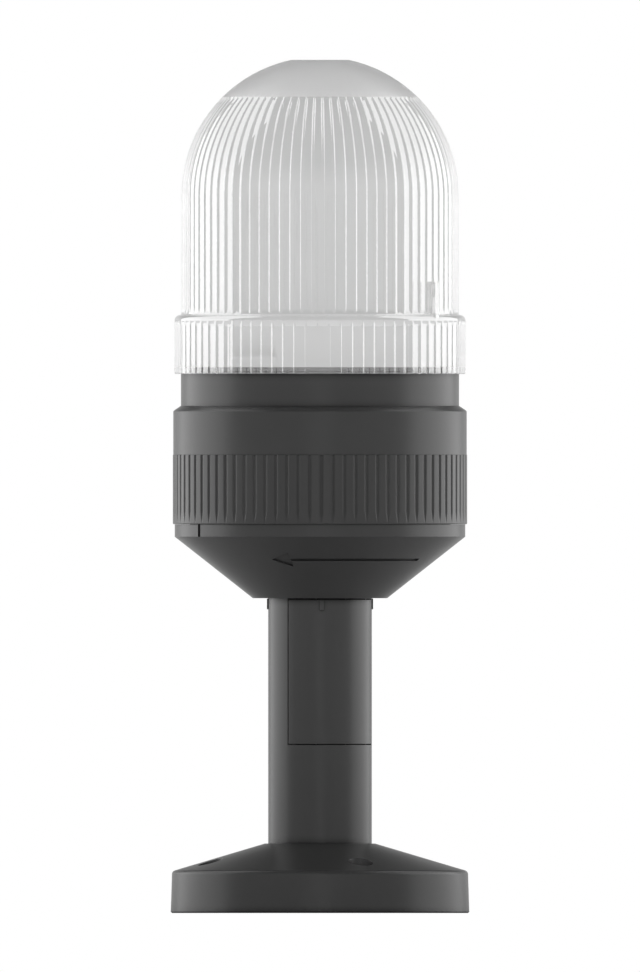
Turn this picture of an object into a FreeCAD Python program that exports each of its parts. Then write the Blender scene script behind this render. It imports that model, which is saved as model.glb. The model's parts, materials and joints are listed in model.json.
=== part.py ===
"""Xenon strobe beacon on a pole foot, as a parametric document.

Millimetres, +Z up. The foot stands on z = 0 and the pole's axis is the z axis. The front of the
beacon faces -Y, and an azimuth is counted in degrees from the front towards +X.
"""
import FreeCAD, Part
import math
import os

import Sketcher
from FreeCAD import Placement, Rotation, Vector

# Driving dimensions: alias, value, meaning
DIMENSIONS = (
    ("foot_d", 70.0, "foot, outside diameter"),
    ("foot_rim_height", 9.8, "foot, height of the rim"),
    ("foot_height", 16.3, "foot, height at the pole"),
    ("foot_draft", 0.3, "foot, taper of the rim on the radius"),
    ("foot_edge", 0.3, "foot, chamfer of the lower edge"),
    ("foot_round", 1.0, "foot, radius of the upper edge"),
    ("foot_lip", 0.65, "foot, flat lip round the pole"),
    ("foot_wall", 2.5, "foot, thickness of the roof"),
    ("foot_rim_wall", 2.7, "foot, thickness of the rim"),
    ("foot_recess", 1.6, "foot, height of the floor under the pole"),
    ("foot_floor", 2.4, "foot, thickness of that floor"),
    ("fixing_circle_d", 54.8, "foot, circle of the fixing holes"),
    ("fixing_hole_d", 5.8, "foot, fixing hole"),
    ("fixing_boss_d", 10.0, "foot, boss round a fixing hole"),
    ("fixing_count", 4, "foot, number of fixing holes"),
    ("fixing_azimuth", 20.4, "foot, azimuth of the first fixing hole"),
    ("web_thickness", 1.6, "foot, stiffening web"),
    ("gasket_width", 1.2, "foot gasket, width"),
    ("gasket_height", 0.8, "foot gasket, height"),
    ("pole_d", 24.3, "pole, outside diameter"),
    ("pole_wall", 2.4, "pole, wall thickness"),
    ("pole_length", 57.5, "pole, length between foot and adapter"),
    ("socket_depth", 10.1, "adapter, depth of the pole socket"),
    ("socket_fit", 0.1, "gap round the pole in its sockets"),
    ("socket_wall", 2.6, "wall of the sockets"),
    ("port_d", 5.0, "pole, screw port"),
    ("port_inset", 0.75, "pole, axis of a port inside the bore's wall"),
    ("pilot_d", 2.2, "pole, pilot hole of a port"),
    ("cable_margin", 0.5, "cable hole, gap to the screw ports on the radius"),
    ("cover_height", 34.3, "pole cover, height of its window"),
    ("cover_angle", 120.0, "pole cover, angle of its window"),
    ("cover_azimuth", 21.5, "pole cover, azimuth of its middle"),
    ("cover_lap", 6.0, "pole cover, angle of the lap at each side"),
    ("cover_gap", 0.25, "pole cover, seam"),
    ("depth_rib_height", 2.5, "pole, height of a depth rib"),
    ("depth_rib_width", 1.0, "pole, width of a depth rib"),
    ("depth_rib_proud", 0.3, "pole, height of a depth rib above the pole"),
    ("depth_rib_count", 4, "pole, number of depth ribs"),
    ("depth_rib_azimuth", 2.0, "pole, azimuth of the first depth rib"),
    ("screw_head_d", 4.8, "self-tapping screw, head"),
    ("screw_head_height", 1.3, "self-tapping screw, height of the head"),
    ("screw_shank_d", 2.0, "self-tapping screw, shank"),
    ("screw_length", 12.0, "self-tapping screw, length of the shank"),
    ("screw_hole_d", 3.2, "clearance hole of a self-tapping screw"),
    ("cone_collar", 3.6, "adapter, width of its lower face"),
    ("cone_height", 14.4, "adapter, height of the cone"),
    ("cone_wall", 3.0, "adapter, thickness of the cone along the axis"),
    ("rim_height", 2.9, "adapter, height of the rim"),
    ("rim_step", 0.45, "adapter, rim inside the grip band on the radius"),
    ("spigot_wall", 2.2, "adapter, wall of the spigot"),
    ("spigot_height", 6.2, "adapter, height of the spigot above the rim"),
    ("carrier_ledge", 1.8, "adapter, ledge under the terminal carrier"),
    ("engraving", 0.4, "adapter, depth of the marks"),
    ("tick_width", 1.0, "adapter, width of the index tick"),
    ("tick_azimuth", -56.3, "adapter, azimuth of the index tick"),
    ("arrow_drop", 5.4, "adapter, arrow's middle line below the rim"),
    ("arrow_tip_azimuth", -24.4, "adapter, azimuth of the arrow's tip"),
    ("arrow_tail_azimuth", 57.8, "adapter, azimuth of the arrow's tail"),
    ("arrow_head", 4.6, "adapter, length of the arrow's head"),
    ("arrow_head_width", 5.3, "adapter, width of the arrow's head along the slope"),
    ("arrow_shaft", 0.95, "adapter, width of the arrow's shaft along the slope"),
    ("seal_width", 1.2, "joint seal, width"),
    ("seal_height", 0.8, "joint seal, height"),
    ("seat_gap", 0.1, "gap between the flat seats of turning parts"),
    ("grip_d", 69.0, "housing, diameter over the grip band"),
    ("grip_height", 16.2, "housing, height of the grip band"),
    ("grip_wall", 2.3, "housing, wall of the grip band"),
    ("flute_count", 80, "housing, number of flutes; lens, number of ribs"),
    ("flute_depth", 0.5, "housing, depth of a flute"),
    ("flute_width", 1.2, "housing, width of a flute"),
    ("flute_runout", 3.0, "housing, length of a flute's run-out"),
    ("band_step", 0.1, "housing, plain band inside the grip band on the radius"),
    ("band_height", 10.3, "housing, height of the plain band"),
    ("band_wall", 2.8, "housing, wall of the plain band"),
    ("neck_step", 1.8, "housing, neck inside the plain band on the radius"),
    ("neck_chamfer", 1.2, "housing, height of the chamfer under the neck"),
    ("neck_height", 8.2, "housing, height of the neck"),
    ("floor_height", 9.8, "housing, height of the floor above its lower edge"),
    ("floor_thickness", 2.0, "housing, thickness of the floor"),
    ("bayonet_gap", 0.3, "clearance of the bayonet lugs"),
    ("bayonet_count", 3, "number of bayonet lugs"),
    ("lug_azimuth", 90.0, "azimuth of the first bayonet lug"),
    ("lug_angle", 24.0, "angle of a bayonet lug"),
    ("lug_height", 2.2, "height of a bayonet lug"),
    ("lug_reach", 1.4, "housing and adapter, radial reach of a lug"),
    ("stop_angle", 4.0, "angle of a bayonet stop"),
    ("post_azimuth", 30.0, "housing, azimuth of the first post"),
    ("board_post_d", 6.0, "housing, post under the circuit board"),
    ("board_post_height", 3.6, "housing, height of a post"),
    ("post_inset", 6.1, "housing, axis of a post inside the edge of the circuit board"),
    ("board_thickness", 1.6, "circuit board, thickness"),
    ("board_gap", 0.8, "circuit board, gap to the neck's ledge on the radius"),
    ("carrier_gap", 0.2, "terminal carrier, gap in the spigot"),
    ("carrier_thickness", 3.0, "terminal carrier, thickness"),
    ("contact_inset", 13.3, "axis of a contact inside the bore of the spigot"),
    ("contact_pin_d", 2.4, "contact pin, diameter"),
    ("contact_gap", 0.3, "gap between a contact pin and its spring"),
    ("spring_width", 4.0, "contact spring, width"),
    ("spring_thickness", 0.5, "contact spring, thickness"),
    ("spring_length", 9.0, "contact spring, length"),
    ("clamp_length", 8.0, "terminal clamp, length"),
    ("clamp_width", 6.0, "terminal clamp, width"),
    ("clamp_height", 3.6, "terminal clamp, height"),
    ("clamp_bore_d", 2.4, "terminal clamp, wire hole"),
    ("clamp_inset", 11.3, "terminal clamp, middle inside the bore of the spigot"),
    ("clamp_screw_d", 4.2, "terminal screw, head"),
    ("clamp_screw_height", 0.7, "terminal screw, height of the head"),
    ("lens_seal_width", 1.5, "lens seal, width"),
    ("lens_seal_height", 0.8, "lens seal, height"),
    ("skirt_overlap", 0.7, "lens, overlap of the skirt on the neck"),
    ("skirt_step", 1.5, "lens, skirt outside the neck on the radius"),
    ("skirt_height", 12.5, "lens, height of the skirt"),
    ("skirt_gap", 0.25, "lens, gap between skirt and neck"),
    ("shoulder_step", 1.6, "lens, barrel inside the skirt on the radius"),
    ("shoulder_height", 1.3, "lens, height of the shoulder"),
    ("barrel_height", 28.0, "lens, height of the barrel"),
    ("lens_wall", 1.95, "lens, wall under the ribs"),
    ("rib_depth", 0.35, "lens, depth between the ribs"),
    ("rib_azimuth", 1.37, "lens, azimuth of the first rib of the barrel and the dome"),
    ("skirt_rib_azimuth", -0.95, "lens, azimuth of the first rib of the skirt"),
    ("cap_latitude", 45.4, "lens, latitude at which the ribs end"),
    ("top_latitude", 78.0, "lens, latitude of the flat top"),
    ("dome_bands", 4, "lens, number of bands of the ribbed dome"),
    ("lens_lug_reach", 1.1, "lens, radial reach of a lug"),
    ("lens_lug_lift", 1.2, "lens, height of a lug above the seat"),
    ("index_azimuth", 54.0, "lens, azimuth of the index rib"),
    ("index_width", 1.5, "lens, width of the index rib"),
    ("index_height", 9.0, "lens, height of the index rib"),
    ("tray_gap", 0.2, "lamp tray, gap in the neck"),
    ("tray_ledge", 1.2, "lamp tray, ledge in the neck"),
    ("tray_depth", 2.4, "lamp tray, depth of that ledge below the neck's top"),
    ("tray_floor", 2.0, "lamp tray, thickness of the floor"),
    ("tray_wall", 1.8, "lamp tray, wall thickness"),
    ("tray_hole_d", 11.0, "lamp tray, hole for the tube's leads"),
    ("pedestal_d", 22.0, "tube pedestal, diameter"),
    ("pedestal_height", 9.0, "tube pedestal, height"),
    ("pedestal_floor", 2.4, "tube pedestal, floor under the tube"),
    ("tube_d", 6.0, "flash tube, outside diameter"),
    ("tube_wall", 0.8, "flash tube, wall thickness"),
    ("tube_bend_radius", 6.0, "flash tube, radius of the bend"),
    ("tube_leg", 42.5, "flash tube, length of a leg"),
    ("tube_fit", 0.15, "gap round the flash tube in the pedestal"),
    ("tube_plug", 2.0, "flash tube, length of the closed ends"),
    ("electrode_d", 1.8, "flash tube, electrode"),
    ("electrode_length", 10.0, "flash tube, length of an electrode"),
    ("trigger_wire_d", 0.7, "trigger wire, diameter"),
    ("trigger_wire_gap", 0.05, "gap between trigger wire and tube"),
    ("lead_d", 1.4, "tube lead, diameter"),
    ("lead_radius", 3.2, "tube leads, distance from the axis"),
    ("lead_count", 3, "number of tube leads"),
    ("capacitor_azimuth", 180.0, "flash capacitor, azimuth on the board"),
    ("capacitor_d", 14.0, "flash capacitor, diameter"),
    ("capacitor_height", 15.0, "flash capacitor, height"),
    ("part_radius", 16.0, "parts on the board, distance of their middles from the axis"),
    ("transformer_azimuth", 120.0, "trigger transformer, azimuth on the board"),
    ("transformer_width", 11.0, "trigger transformer, width and height"),
    ("film_azimuth", 0.0, "film capacitor, azimuth on the board"),
    ("film_length", 13.0, "film capacitor, length"),
    ("film_width", 6.0, "film capacitor, width"),
    ("film_height", 11.0, "film capacitor, height"),
    ("choke_azimuth", 300.0, "charging choke, azimuth on the board"),
    ("choke_d", 11.0, "charging choke, diameter of the flanges"),
    ("choke_height", 10.0, "charging choke, height"),
    ("choke_flange", 1.4, "charging choke, thickness of a flange"),
    ("resistor_azimuth", 240.0, "power resistor, azimuth on the board"),
    ("resistor_length", 14.0, "power resistor, length"),
    ("resistor_width", 5.0, "power resistor, width and height"),
)

QUARTER_TURN = 90.0
HALF_TURN = 180.0
FULL_TURN = 360.0

sub_parts = []

doc = FreeCAD.newDocument("strobe_beacon")
sheet = doc.addObject("Spreadsheet::Sheet", "dims")
for row, (alias, amount, meaning) in enumerate(DIMENSIONS, start=1):
    sheet.set(f"A{row}", meaning)
    sheet.set(f"B{row}", str(amount))
    sheet.setAlias(f"B{row}", alias)
doc.recompute()


class Size:
    """A length, angle or count that carries its value and the expression it comes from."""

    def __init__(self, value, text):
        self.value = float(value)
        self.text = text

    @staticmethod
    def of(thing):
        """Return a Size as it is and a plain number as a Size."""
        return thing if isinstance(thing, Size) else Size(thing, repr(float(thing)))

    def __add__(self, other):
        other = Size.of(other)
        return Size(self.value + other.value, f"({self.text} + {other.text})")

    def __sub__(self, other):
        other = Size.of(other)
        return Size(self.value - other.value, f"({self.text} - {other.text})")

    def __mul__(self, other):
        other = Size.of(other)
        return Size(self.value * other.value, f"({self.text} * {other.text})")

    def __truediv__(self, other):
        other = Size.of(other)
        return Size(self.value / other.value, f"({self.text} / {other.text})")

    def __neg__(self):
        return Size(-self.value, f"(0 - {self.text})")

    def __int__(self):
        return int(round(self.value))


class Dimensions:
    """The cells of the sheet, each read as a Size by its alias."""

    def __getattr__(self, alias):
        return Size(sheet.get(alias), f"dims.{alias}")


d = Dimensions()


def sine(angle):
    """Return the sine of an angle in degrees."""
    return Size(math.sin(math.radians(angle.value)), f"sin({angle.text} * 1 deg)")


def cosine(angle):
    """Return the cosine of an angle in degrees."""
    return Size(math.cos(math.radians(angle.value)), f"cos({angle.text} * 1 deg)")


def hypotenuse(run, rise):
    """Return the length of a slope over a run and a rise."""
    return Size(math.hypot(run.value, rise.value), f"sqrt({run.text} ^ 2 + {rise.text} ^ 2)")


def slope_angle(run, rise):
    """Return the angle of a slope in degrees."""
    degrees = math.degrees(math.atan2(rise.value, run.value))
    return Size(degrees, f"(atan({rise.text} / {run.text}) / 1 deg)")


def arc_angle(length, radius):
    """Return the angle in degrees of an arc of this length."""
    return length / radius * math.degrees(1)


def polar(radius, azimuth):
    """Return x and y of a point at this radius and azimuth."""
    azimuth = Size.of(azimuth)
    return radius * sine(azimuth), -radius * cosine(azimuth)


def around(count, first):
    """Return evenly spaced azimuths, the first one given."""
    number = int(count)
    return [first + FULL_TURN * i / number for i in range(number)]


def bind(thing, path, size):
    """Tie a property to the cells behind a size."""
    thing.setExpression(path, Size.of(size).text)


def bind_base(thing, x, y, z):
    """Tie an object's position to the cells behind its coordinates."""
    for axis, size in (("x", x), ("y", y), ("z", z)):
        if isinstance(size, Size):
            bind(thing, f"Placement.Base.{axis}", size)


class RoundedCorner:
    """The arc that rounds off a corner of an outline, and where it meets the two lines."""

    def __init__(self, before, corner, after, radius):
        back = (before - corner).normalize()
        ahead = (after - corner).normalize()
        half = back.getAngle(ahead) / 2
        reach = radius / math.tan(half)
        self.arrival = corner + back * reach
        self.departure = corner + ahead * reach
        crown = corner + (back + ahead).normalize() * (radius / math.sin(half) - radius)
        self.arc = Part.Arc(self.arrival, crown, self.departure)
        starts_on_arrival = self.arc.StartPoint.distanceToPoint(self.arrival) < reach / 2
        self.arrival_end, self.departure_end = (1, 2) if starts_on_arrival else (2, 1)


def draw_loop(sketch, points, rounds=None):
    """Draw a closed loop of lines in a sketch, each corner tied to its two sizes.

    A coordinate is a Size, or the plain number 0 for a corner on that axis. The rounds are the
    radii of the corners that are rounded off, by the corner's number.
    """
    rounds = rounds or {}
    corners = [Vector(Size.of(x).value, Size.of(y).value, 0) for x, y in points]
    count = len(corners)
    rounded = {
        i: RoundedCorner(corners[i - 1], corners[i], corners[(i + 1) % count], radius.value)
        for i, radius in rounds.items()
    }
    starts = [rounded[i].departure if i in rounded else corner for i, corner in enumerate(corners)]
    ends = [rounded[i].arrival if i in rounded else corner for i, corner in enumerate(corners)]
    sketch.addGeometry([Part.LineSegment(starts[i], ends[(i + 1) % count]) for i in range(count)])
    rules = []
    tied = []
    for i, point in enumerate(points):
        holder = i
        before = (i - 1) % count
        if i in rounded:
            corner = rounded[i]
            arc = sketch.addGeometry(corner.arc)
            holder = sketch.addGeometry(Part.Point(corners[i]), True)
            rules.append(Sketcher.Constraint("Tangent", before, 2, arc, corner.arrival_end))
            rules.append(Sketcher.Constraint("Tangent", i, 1, arc, corner.departure_end))
            rules.append(Sketcher.Constraint("PointOnObject", holder, 1, before))
            rules.append(Sketcher.Constraint("PointOnObject", holder, 1, i))
            tied.append((len(rules), rounds[i].text))
            rules.append(Sketcher.Constraint("Radius", arc, rounds[i].value))
        else:
            rules.append(Sketcher.Constraint("Coincident", before, 2, i, 1))
        for kind, axis, size in (("DistanceX", -2, point[0]), ("DistanceY", -1, point[1])):
            if isinstance(size, Size):
                tied.append((len(rules), size.text))
                rules.append(Sketcher.Constraint(kind, -1, 1, holder, 1, size.value))
            else:
                rules.append(Sketcher.Constraint("PointOnObject", holder, 1, axis))
    sketch.addConstraint(rules)
    for index, text in tied:
        sketch.setExpression(f"Constraints[{index}]", text)


def upright_sketch(name, points, rounds=None):
    """Return a sketch of a closed loop in the plane of x and z."""
    sketch = doc.addObject("Sketcher::SketchObject", name)
    sketch.Placement = Placement(Vector(), Rotation(Vector(1, 0, 0), QUARTER_TURN))
    draw_loop(sketch, points, rounds)
    return sketch


def turned(name, points, start=None, sweep=None, rounds=None):
    """Return the solid that an outline of radius and height sweeps round the z axis.

    Without a sweep it goes all the way round, otherwise it begins at the start azimuth.
    """
    solid = doc.addObject("Part::Revolution", name)
    solid.Source = upright_sketch(f"{name}_outline", points, rounds)
    solid.Axis = Vector(0, 0, 1)
    solid.Solid = True
    if sweep is not None:
        bind(solid, "Angle", sweep)
        bind(solid, "Placement.Rotation.Angle", start - QUARTER_TURN)
    return solid


def ring(name, inner, outer, low, high, start=None, sweep=None):
    """Return a ring of square section, or a sector of one."""
    return turned(name, [(inner, low), (outer, low), (outer, high), (inner, high)], start, sweep)


def rod(name, diameter, low, high, place=(0, 0)):
    """Return an upright cylinder between two heights."""
    solid = doc.addObject("Part::Cylinder", name)
    bind(solid, "Radius", diameter / 2)
    bind(solid, "Height", high - low)
    bind_base(solid, place[0], place[1], low)
    return solid


def block(name, radius, azimuth, length, width, low, high):
    """Return a box centred at a radius and azimuth, its width along the radius."""
    azimuth = Size.of(azimuth)
    x, y = polar(radius, azimuth)
    solid = doc.addObject("Part::Box", name)
    bind(solid, "Length", length)
    bind(solid, "Width", width)
    bind(solid, "Height", high - low)
    corner_x = x - (length * cosine(azimuth) - width * sine(azimuth)) / 2
    corner_y = y - (length * sine(azimuth) + width * cosine(azimuth)) / 2
    bind_base(solid, corner_x, corner_y, low)
    bind(solid, "Placement.Rotation.Angle", azimuth)
    return solid


def fused(name, *solids):
    """Return several solids as one."""
    result = doc.addObject("Part::MultiFuse", name)
    result.Shapes = list(solids)
    return result


def cut(name, base, *tools):
    """Return a solid with other solids taken out of it."""
    result = doc.addObject("Part::Cut", name)
    result.Base = base
    result.Tool = tools[0] if len(tools) == 1 else fused(f"{name}_tools", *tools)
    return result


def extruded(name, points, back, depth):
    """Return an upright outline pushed from y = back towards the front."""
    solid = doc.addObject("Part::Extrusion", name)
    solid.Base = upright_sketch(f"{name}_outline", points)
    solid.DirMode = "Custom"
    solid.Dir = Vector(0, -1, 0)
    solid.Solid = True
    bind(solid, "LengthFwd", depth)
    bind_base(solid, 0, back, 0)
    return solid


def pressed_plate(name, points, depth, place, azimuth, tilt):
    """Return an outline pushed through its own plane, which lies at a place and leans by a tilt."""
    sketch = doc.addObject("Sketcher::SketchObject", f"{name}_outline")
    draw_loop(sketch, points)
    base = "; ".join(size.text for size in place)
    sketch.setExpression("Placement", f"create(<<placement>>; create(<<vector>>; {base}); "
                                      f"create(<<rotation>>; {azimuth.text}; 0; {tilt.text}))")
    doc.recompute()
    solid = doc.addObject("Part::Extrusion", name)
    solid.Base = sketch
    solid.DirMode = "Normal"
    solid.Solid = True
    bind(solid, "LengthFwd", depth)
    return solid


def group(name, *solids):
    """Return like pieces as one group of separate solids."""
    result = doc.addObject("Part::Compound", name)
    result.Links = list(solids)
    return result


def finish(solid, name):
    """Give a finished sub-part its name."""
    solid.Label = name
    sub_parts.append(solid)
    return solid


# Radii, from the pole outwards
pole_r = d.pole_d / 2
pole_bore = pole_r - d.pole_wall
port_circle = pole_bore - d.port_inset
cable_r = port_circle - d.port_d / 2 - d.cable_margin
socket_r = pole_r + d.socket_fit
hub_r = socket_r + d.socket_wall
foot_r = d.foot_d / 2
foot_top_r = foot_r - d.foot_draft
foot_inner = foot_r - d.foot_rim_wall
lip_r = socket_r + d.foot_lip
collar_r = pole_r + d.cone_collar
grip_r = d.grip_d / 2
rim_r = grip_r - d.rim_step
band_r = grip_r - d.band_step
neck_r = band_r - d.neck_step
well_r = grip_r - d.grip_wall
housing_lug_r = well_r - d.lug_reach
spigot_r = housing_lug_r - d.bayonet_gap
spigot_bore = spigot_r - d.spigot_wall
spigot_lug_r = well_r - d.bayonet_gap
carrier_seat_r = spigot_bore - d.carrier_ledge
skirt_r = neck_r + d.skirt_step
lens_r = skirt_r - d.shoulder_step
skirt_bore = skirt_r - d.rib_depth - d.lens_wall
lens_bore = lens_r - d.rib_depth - d.lens_wall
lens_lug_r = skirt_bore - d.lens_lug_reach
tray_r = lens_lug_r - d.bayonet_gap
tray_lug_r = skirt_bore - d.bayonet_gap
neck_bore = tray_r + d.tray_gap
ledge_r = neck_bore - d.tray_ledge
chamber_r = band_r - d.band_wall
board_r = ledge_r - d.board_gap
post_circle = board_r - d.post_inset
contact_circle = spigot_bore - d.contact_inset
clamp_circle = spigot_bore - d.clamp_inset

# Heights, from the floor upwards
pole_low = d.foot_recess + d.foot_floor
cone_low = d.foot_height + d.pole_length
pole_high = cone_low + d.socket_depth
rim_low = cone_low + d.cone_height
rim_high = rim_low + d.rim_height
grip_low = rim_high + d.seat_gap
band_low = grip_low + d.grip_height
chamfer_low = band_low + d.band_height
neck_low = chamfer_low + d.neck_chamfer
neck_high = neck_low + d.neck_height
floor_low = grip_low + d.floor_height
floor_high = floor_low + d.floor_thickness
board_low = floor_high + d.board_post_height
board_high = board_low + d.board_thickness
window_high = cone_low - d.seat_gap
window_low = window_high - d.cover_height
lens_seat = neck_high + d.lens_seal_height + d.seat_gap
skirt_low = neck_high - d.skirt_overlap
shoulder_low = skirt_low + d.skirt_height
barrel_low = shoulder_low + d.shoulder_height
dome_low = barrel_low + d.barrel_height
spigot_high = rim_high + d.spigot_height
housing_lug_low = grip_low + d.bayonet_gap * 2
housing_lug_high = housing_lug_low + d.lug_height
spigot_lug_low = housing_lug_high + d.bayonet_gap
lens_lug_low = lens_seat + d.lens_lug_lift
lens_lug_high = lens_lug_low + d.lug_height
tray_low = neck_high - d.tray_depth
tray_lug_low = lens_lug_high + d.bayonet_gap
tray_high = tray_lug_low + d.lug_height
tray_top = tray_low + d.tray_floor
carrier_low = rim_low + d.cone_wall / 2
carrier_high = carrier_low + d.carrier_thickness
pedestal_high = tray_top + d.pedestal_height
tube_low = tray_top + d.pedestal_floor
bend_low = tube_low + d.tube_leg

# Azimuths
fixing_azimuths = around(d.fixing_count, d.fixing_azimuth)
web_azimuths = around(d.fixing_count, d.fixing_azimuth + Size.of(HALF_TURN) / d.fixing_count)
port_azimuths = [d.cover_azimuth + QUARTER_TURN * i for i in (1, 2, 3)]
lug_azimuths = around(d.bayonet_count, d.lug_azimuth)
post_azimuths = around(d.bayonet_count, d.post_azimuth)
depth_rib_azimuths = around(d.depth_rib_count, d.depth_rib_azimuth)
contact_azimuths = around(2, Size.of(0))
clamp_azimuths = around(2, Size.of(QUARTER_TURN))


def self_tapping_screws(name, seat, rising):
    """Return the screws of the pole's ports, their heads on a seat and their shanks in the pole."""
    screws = []
    for i, azimuth in enumerate(port_azimuths):
        place = polar(port_circle, azimuth)
        if rising:
            head = rod(f"{name}_head_{i}", d.screw_head_d, seat - d.screw_head_height, seat, place)
            shank = rod(f"{name}_shank_{i}", d.screw_shank_d, seat, seat + d.screw_length, place)
        else:
            head = rod(f"{name}_head_{i}", d.screw_head_d, seat, seat + d.screw_head_height, place)
            shank = rod(f"{name}_shank_{i}", d.screw_shank_d, seat - d.screw_length, seat, place)
        screws.append(fused(f"{name}_screw_{i}", head, shank))
    return group(name, *screws)


def bayonet_lugs(name, inner, outer, low, high):
    """Return the lugs of one half of a bayonet."""
    return [
        ring(f"{name}_{i}", inner, outer, low, high, azimuth - d.lug_angle / 2, d.lug_angle)
        for i, azimuth in enumerate(lug_azimuths)
    ]


def bayonet_stops(name, inner, outer, low, high):
    """Return the stops that a locked lug rests against, on its clockwise side."""
    room = arc_angle(d.bayonet_gap, inner)
    return [
        ring(f"{name}_{i}", inner, outer, low, high,
             azimuth - d.lug_angle / 2 - room - d.stop_angle, d.stop_angle)
        for i, azimuth in enumerate(lug_azimuths)
    ]


def foot_gasket_radii(gap):
    """Return the inner and outer radius of the gasket's groove, less a gap."""
    middle = foot_r - d.foot_rim_wall / 2
    return middle - d.gasket_width / 2 + gap, middle + d.gasket_width / 2 - gap


def make_foot():
    """The moulded foot: a hollow cone with a rim, fixing bosses, webs and the pole's socket."""
    slope = (d.foot_height - d.foot_rim_height) / (foot_top_r - lip_r)

    def roof(radius):
        return d.foot_rim_height + (foot_top_r - radius) * slope - d.foot_wall

    shell = turned("foot_shell", [
        (0, 0),
        (foot_r - d.foot_edge, 0),
        (foot_r, d.foot_edge),
        (foot_top_r, d.foot_rim_height),
        (lip_r, d.foot_height),
        (0, d.foot_height),
    ], rounds={3: d.foot_round})
    hollow = turned("foot_hollow", [
        (0, 0),
        (foot_inner, 0),
        (foot_inner, roof(foot_inner)),
        (hub_r, roof(hub_r)),
        (hub_r, d.foot_recess),
        (0, d.foot_recess),
    ])
    bosses = [
        rod(f"foot_boss_{i}", d.fixing_boss_d, Size.of(0), d.foot_height,
            polar(d.fixing_circle_d / 2, azimuth))
        for i, azimuth in enumerate(fixing_azimuths)
    ]
    web_middle = (hub_r + foot_inner) / 2
    webs = [
        block(f"foot_web_{i}", web_middle, azimuth, d.web_thickness, foot_inner - hub_r + d.foot_wall,
              d.foot_recess, d.foot_height)
        for i, azimuth in enumerate(web_azimuths)
    ]
    underside = cut("foot_underside", hollow, *bosses, *webs)
    socket = rod("foot_socket", socket_r * 2, pole_low, d.foot_height)
    cable_hole = rod("foot_cable_hole", cable_r * 2, d.foot_recess, pole_low)
    groove = ring("foot_groove", *foot_gasket_radii(Size.of(0)), Size.of(0), d.gasket_height)
    fixing_holes = [
        rod(f"foot_hole_{i}", d.fixing_hole_d, Size.of(0), d.foot_height,
            polar(d.fixing_circle_d / 2, azimuth))
        for i, azimuth in enumerate(fixing_azimuths)
    ]
    port_holes = [
        rod(f"foot_port_{i}", d.screw_hole_d, d.foot_recess, pole_low, polar(port_circle, azimuth))
        for i, azimuth in enumerate(port_azimuths)
    ]
    foot = cut("foot", shell, underside, socket, cable_hole, groove, *fixing_holes, *port_holes)
    finish(foot, "mounting_foot")

    inner, outer = foot_gasket_radii(d.socket_fit)
    finish(ring("gasket", inner, outer, Size.of(0), d.gasket_height), "foot_gasket")
    finish(self_tapping_screws("foot_screws", d.foot_recess, rising=True), "pole_foot_screws")


def cover_sectors(name, inner, outer, low, high, gap):
    """Return the two steps of the pole's window, or of its cover, less a gap at each side.

    The outer step is wider than the inner one, so that the cover laps over the pole's edges.
    """
    middle = (pole_bore + pole_r) / 2
    half = d.cover_angle / 2 - arc_angle(gap, pole_r)
    start = d.cover_azimuth - half
    lapped = half - d.cover_lap
    outer_step = ring(f"{name}_outer", middle + gap, outer, low + gap, high - gap, start, half * 2)
    inner_step = ring(f"{name}_inner", inner, middle + gap, low + gap, high - gap,
                      start + d.cover_lap, lapped * 2)
    return outer_step, inner_step


def depth_rib(name, azimuth, high):
    """Return a small rib on the pole that stops it at the right depth in the adapter."""
    sweep = arc_angle(d.depth_rib_width, pole_r)
    return ring(name, pole_r - d.depth_rib_proud, pole_r + d.depth_rib_proud,
                high - d.depth_rib_height, high, azimuth - sweep / 2, sweep)


def make_pole():
    """The pole with its screw ports and window, and the cover that closes the window."""
    ports = []
    pilots = []
    for i, azimuth in enumerate(port_azimuths):
        place = polar(port_circle, azimuth)
        ports.append(rod(f"pole_port_{i}", d.port_d, pole_low, pole_high, place))
        pilots.append(rod(f"pole_pilot_{i}", d.pilot_d, pole_low, pole_high, place))
    front, *others = depth_rib_azimuths
    ribs = [depth_rib(f"pole_rib_{i}", azimuth, window_high) for i, azimuth in enumerate(others)]
    tube = ring("pole_wall_ring", pole_bore, pole_r, pole_low, pole_high)
    window = cover_sectors("window", pole_bore - d.pole_wall, pole_r + d.pole_wall,
                           window_low, window_high, Size.of(0))
    pole = cut("pole", fused("pole_solid", tube, *ports, *ribs), *pilots, *window)
    finish(pole, "pole_tube")

    steps = cover_sectors("cover", pole_bore, pole_r, window_low, window_high, d.cover_gap)
    cover = fused("cover", *steps, depth_rib("cover_rib", front, window_high - d.cover_gap))
    finish(cover, "pole_cover")


def arrow_cutter():
    """Return the solid that cuts the locking arrow into the cone, its walls square to the slope."""
    run = rim_r - collar_r
    length = hypotenuse(run, d.cone_height)
    arrow_line = rim_low - d.arrow_drop
    arrow_r = rim_r - d.arrow_drop * run / d.cone_height

    def on_slope(up, out):
        radius = arrow_r + (up * run + out * d.cone_height) / length
        return radius, arrow_line + (up * d.cone_height - out * run) / length

    half_shaft = d.arrow_shaft / 2
    middle = d.arrow_tip_azimuth + arc_angle(d.arrow_head, arrow_r) / 2
    shaft = turned("arrow_shaft", [
        on_slope(-half_shaft, -d.engraving),
        on_slope(-half_shaft, d.engraving),
        on_slope(half_shaft, d.engraving),
        on_slope(half_shaft, -d.engraving),
    ], middle, d.arrow_tail_azimuth - middle)
    root_r, root_z = on_slope(Size.of(0), -d.engraving)
    root = (*polar(root_r, middle), root_z)
    tilt = -slope_angle(run, d.cone_height) + HALF_TURN
    head = pressed_plate("arrow_head", [
        (-d.arrow_head / 2, 0),
        (d.arrow_head / 2, -d.arrow_head_width / 2),
        (d.arrow_head / 2, d.arrow_head_width / 2),
    ], d.engraving * 2, root, middle, tilt)
    return fused("arrow", shaft, head)


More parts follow.
